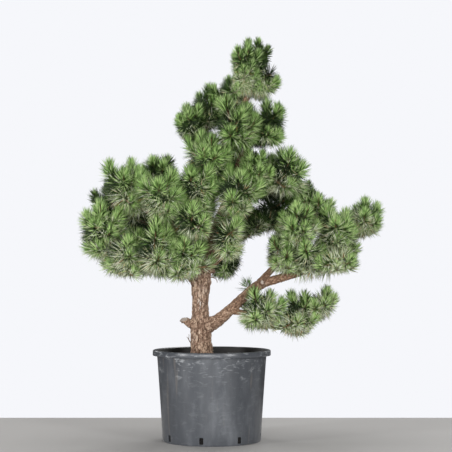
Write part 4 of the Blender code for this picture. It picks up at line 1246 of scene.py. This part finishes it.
def earthMaterial():
    # composted bark and peat: crumbly, moist and almost black
    earth = newMaterial("composted_bark_and_peat", "#2e2620", 0.95)
    coords = addNode(earth, "TexCoord")
    crumbs = addNode(earth, "TexVoronoi", {"Scale": 300.0}, {"Vector": (coords, "Object")})
    colour = setRamp(addNode(earth, "ValToRGB", links={"Fac": (crumbs, "Distance")}), [
        (0.0, "#4a3a2e"), (0.35, "#32281f"), (0.8, "#1c1713")])  # crumbs of about 3 mm
    parts = addNode(earth, "SeparateXYZ", links={"Vector": (coords, "Object")})
    # the bed turns black towards its foot: painted shade that shows through the slots
    dry = addNode(earth, "MapRange", {"From Min": 0.03, "From Max": 0.08}, {"Value": (parts, "Z")})
    shadedFoot = addNode(earth, "Mix", {"data_type": "RGBA", 6: linear("#0b0908")},
                    {"Factor": (dry, "Result"), 7: (colour, "Color")})  # painted shade: black at the foot of the bed, behind the slots
    feedShader(earth, "Base Color", shadedFoot, 2)
    bump = addNode(earth, "Bump", {"Strength": 0.8, "Distance": 0.002, "invert": True},
                   {"Height": (crumbs, "Distance")})
    feedShader(earth, "Normal", bump, "Normal")
    return earth


def makeBed(inside, wide):
    m = mixSet
    deselect()
    bpy.ops.mesh.primitive_cone_add(vertices=m["sides"], radius1=inside, radius2=wide,
                                    depth=m["level"] - m["bottom"], end_fill_type="NGON",
                                    location=(0, 0, (m["level"] + m["bottom"]) / 2))
    bed = bpy.context.object
    bed.name = bed.data.name = "growing_mix_bed"
    settle(bed)
    selectTop(bed)
    for _ in range(m["rings"]):
        bpy.ops.mesh.inset(thickness=wide / (m["rings"] + 1))
    bpy.ops.mesh.poke()
    bpy.ops.object.mode_set(mode="OBJECT")
    for vertex in bed.data.vertices:
        if vertex.co.z > m["level"] - 0.0005:
            vertex.co.z += m["bumps"] * (noise.fractal(vertex.co * 60, 1.0, 2.0, 4) * 0.5)
    bed.data.shade_smooth()
    bed.data.materials.append(earthMaterial())
    dress(bed, "growing_mix", "soil")


def makeChips(wide):  # uneven blocks of bark, strewn over the bed but not on the trunk
    m = mixSet
    rule = np.random.default_rng(5)
    count = m["chips"]
    trunkFoot = np.array(limbs["trunk"]["path"][0][:2])
    spots = np.zeros((0, 2))
    while len(spots) < count:
        turn = rule.uniform(0, math.tau, count)
        far = wide * 0.985 * np.sqrt(rule.uniform(0, 1, count))
        tried = np.stack((far * np.cos(turn), far * np.sin(turn)), axis=1)
        tried = tried[np.linalg.norm(tried - trunkFoot, axis=1) > m["trunkRoom"]]
        spots = np.concatenate((spots, tried))[:count]
    corners = np.array([(x, y, z) for x in (-0.5, 0.5) for y in (-0.5, 0.5) for z in (-0.5, 0.5)])
    faces = [(0, 1, 3), (0, 3, 2), (4, 6, 7), (4, 7, 5), (0, 4, 5), (0, 5, 1),
             (2, 3, 7), (2, 7, 6), (0, 2, 6), (0, 6, 4), (1, 5, 7), (1, 7, 3)]
    long = rule.uniform(*m["chipLong"], count)
    broad = long * rule.uniform(*m["chipWide"], count)
    thick = long * rule.uniform(*m["chipThick"], count)
    shape = corners[None] * np.stack((long, broad, thick), axis=1)[:, None]
    shape = shape * rule.uniform(0.6, 1.15, (count, 8, 1))
    turn = rule.uniform(0, math.tau, count)[:, None]
    tilt = rule.normal(0, 0.35, count)[:, None]
    x = shape[:, :, 0] * np.cos(tilt) - shape[:, :, 2] * np.sin(tilt)
    y = shape[:, :, 1]
    z = shape[:, :, 0] * np.sin(tilt) + shape[:, :, 2] * np.cos(tilt)
    points = np.stack((x * np.cos(turn) - y * np.sin(turn), x * np.sin(turn) + y * np.cos(turn), z), axis=2)
    points[:, :, :2] += spots[:, None]
    points[:, :, 2] += (m["level"] + rule.uniform(*m["chipLift"], count))[:, None]
    looks = np.repeat(rule.integers(0, 3, count), len(faces))
    # composted bark chips: rough, dull and moist
    palette = [
        newMaterial("bark_chip_dark", "#33271f", 0.9),
        newMaterial("bark_chip_brown", "#55402f", 0.85),
        newMaterial("bark_chip_tan", "#7a5f46", 0.85),
    ]
    chips = meshFromArrays("bark_chips", points.reshape(-1, 3), repeatFaces(faces, count, 8), looks, palette)
    chips.data.shade_flat()
    dress(chips, "growing_mix")


def makeMix():
    p = potSet
    inside = p["foot"] - p["wall"] - 0.0010
    slope = (p["shoulder"] - p["foot"]) / (p["height"] - p["floor"])
    wide = inside + slope * mixSet["level"]
    makeBed(inside, wide)
    makeChips(wide)
    print("growing mix made")


# floor, lights and camera

floorSet = {"back": 0.55, "front": -2.4, "half": 3.2, "thick": 0.06}
cameraSet = {"place": (0.0386, -3.6, 0.46), "lens": 105.4, "sensor": 36, "pitch": 1.92}
lights = [  # name, place, aim, width, height, watts
    ("soft_front", (-0.55, -4.10, 0.60), (0.0, 0.0, 0.40), 2.6, 1.2, 110),
    ("soft_right", (2.10, -2.90, 0.95), (0.0, 0.0, 0.45), 0.5, 1.8, 66),
    ("soft_left", (-3.00, -2.05, 0.90), (0.0, 0.0, 0.45), 0.5, 1.7, 68),
    ("soft_top", (0.00, 0.30, 2.90), (0.0, 0.0, 0.60), 1.8, 1.4, 30),
    ("soft_back", (0.90, 2.70, 2.50), (0.0, 0.0, 0.60), 1.6, 1.2, 26),
    ("soft_back_left", (-2.10, 2.60, 1.50), (0.0, 0.0, 0.65), 0.6, 1.4, 20),
    ("soft_back_right", (2.10, 2.60, 1.50), (0.0, 0.0, 0.65), 0.6, 1.4, 20),
]
worldSet = {"seen": "#f6f7fb", "light": 0.09}


def makeFloor():
    deselect()
    middle = (floorSet["back"] + floorSet["front"]) / 2
    bpy.ops.mesh.primitive_cube_add(size=1, location=(0, middle, -floorSet["thick"] / 2))
    floor = bpy.context.object
    floor.name = "floor"
    floor.scale = (2 * floorSet["half"], floorSet["back"] - floorSet["front"], floorSet["thick"])
    settle(floor)
    # matt paint: soft, with no clear reflection
    floor.data.materials.append(newMaterial("matt_floor_paint", "#b3b1af", 0.7))


def makeLights():
    for name, place, aim, width, height, watts in lights:
        lamp = bpy.data.lights.new(name, "AREA")
        lamp.shape = "RECTANGLE"
        lamp.size = width
        lamp.size_y = height
        lamp.energy = watts
        holder = bpy.data.objects.new(name, lamp)
        holder.location = place
        holder.rotation_euler = (Vector(aim) - Vector(place)).to_track_quat("-Z", "Y").to_euler()
        bpy.context.scene.collection.objects.link(holder)


def makeWorld():  # a pale backdrop that the camera sees, and a weak even light
    world = bpy.context.scene.world or bpy.data.worlds.new("studio")
    bpy.context.scene.world = world
    world.use_nodes = True
    tree = world.node_tree
    tree.nodes.clear()
    seen = tree.nodes.new("ShaderNodeBackground")
    seen.inputs["Color"].default_value = linear(worldSet["seen"])
    lit = tree.nodes.new("ShaderNodeBackground")
    lit.inputs["Strength"].default_value = worldSet["light"]
    rays = tree.nodes.new("ShaderNodeLightPath")
    both = tree.nodes.new("ShaderNodeMixShader")
    output = tree.nodes.new("ShaderNodeOutputWorld")
    tree.links.new(rays.outputs["Is Camera Ray"], both.inputs[0])
    tree.links.new(lit.outputs[0], both.inputs[1])
    tree.links.new(seen.outputs[0], both.inputs[2])
    tree.links.new(both.outputs[0], output.inputs["Surface"])


def makeCamera():
    camera = bpy.data.cameras.new("camera")
    camera.lens = cameraSet["lens"]
    camera.sensor_width = cameraSet["sensor"]
    holder = bpy.data.objects.new("camera", camera)
    holder.location = cameraSet["place"]
    holder.rotation_euler = (math.radians(90 + cameraSet["pitch"]), 0, 0)
    bpy.context.scene.collection.objects.link(holder)
    bpy.context.scene.camera = holder
    bpy.context.scene.view_settings.view_transform = "Standard"  # colours as they are set
    print("floor, lights and camera set")


# the run

limbShapes = {name: limbShape(limb, limbSteps) for name, limb in limbs.items()}
makeFloor()
makeLights()
makeWorld()
makeCamera()
stems, shoots = makeFoliage(limbShapes)
makeTwigs(stems, shoots)
makeSprig()
makeBuds(shoots)
makeBark(limbShapes)
makePot()
makeMix()
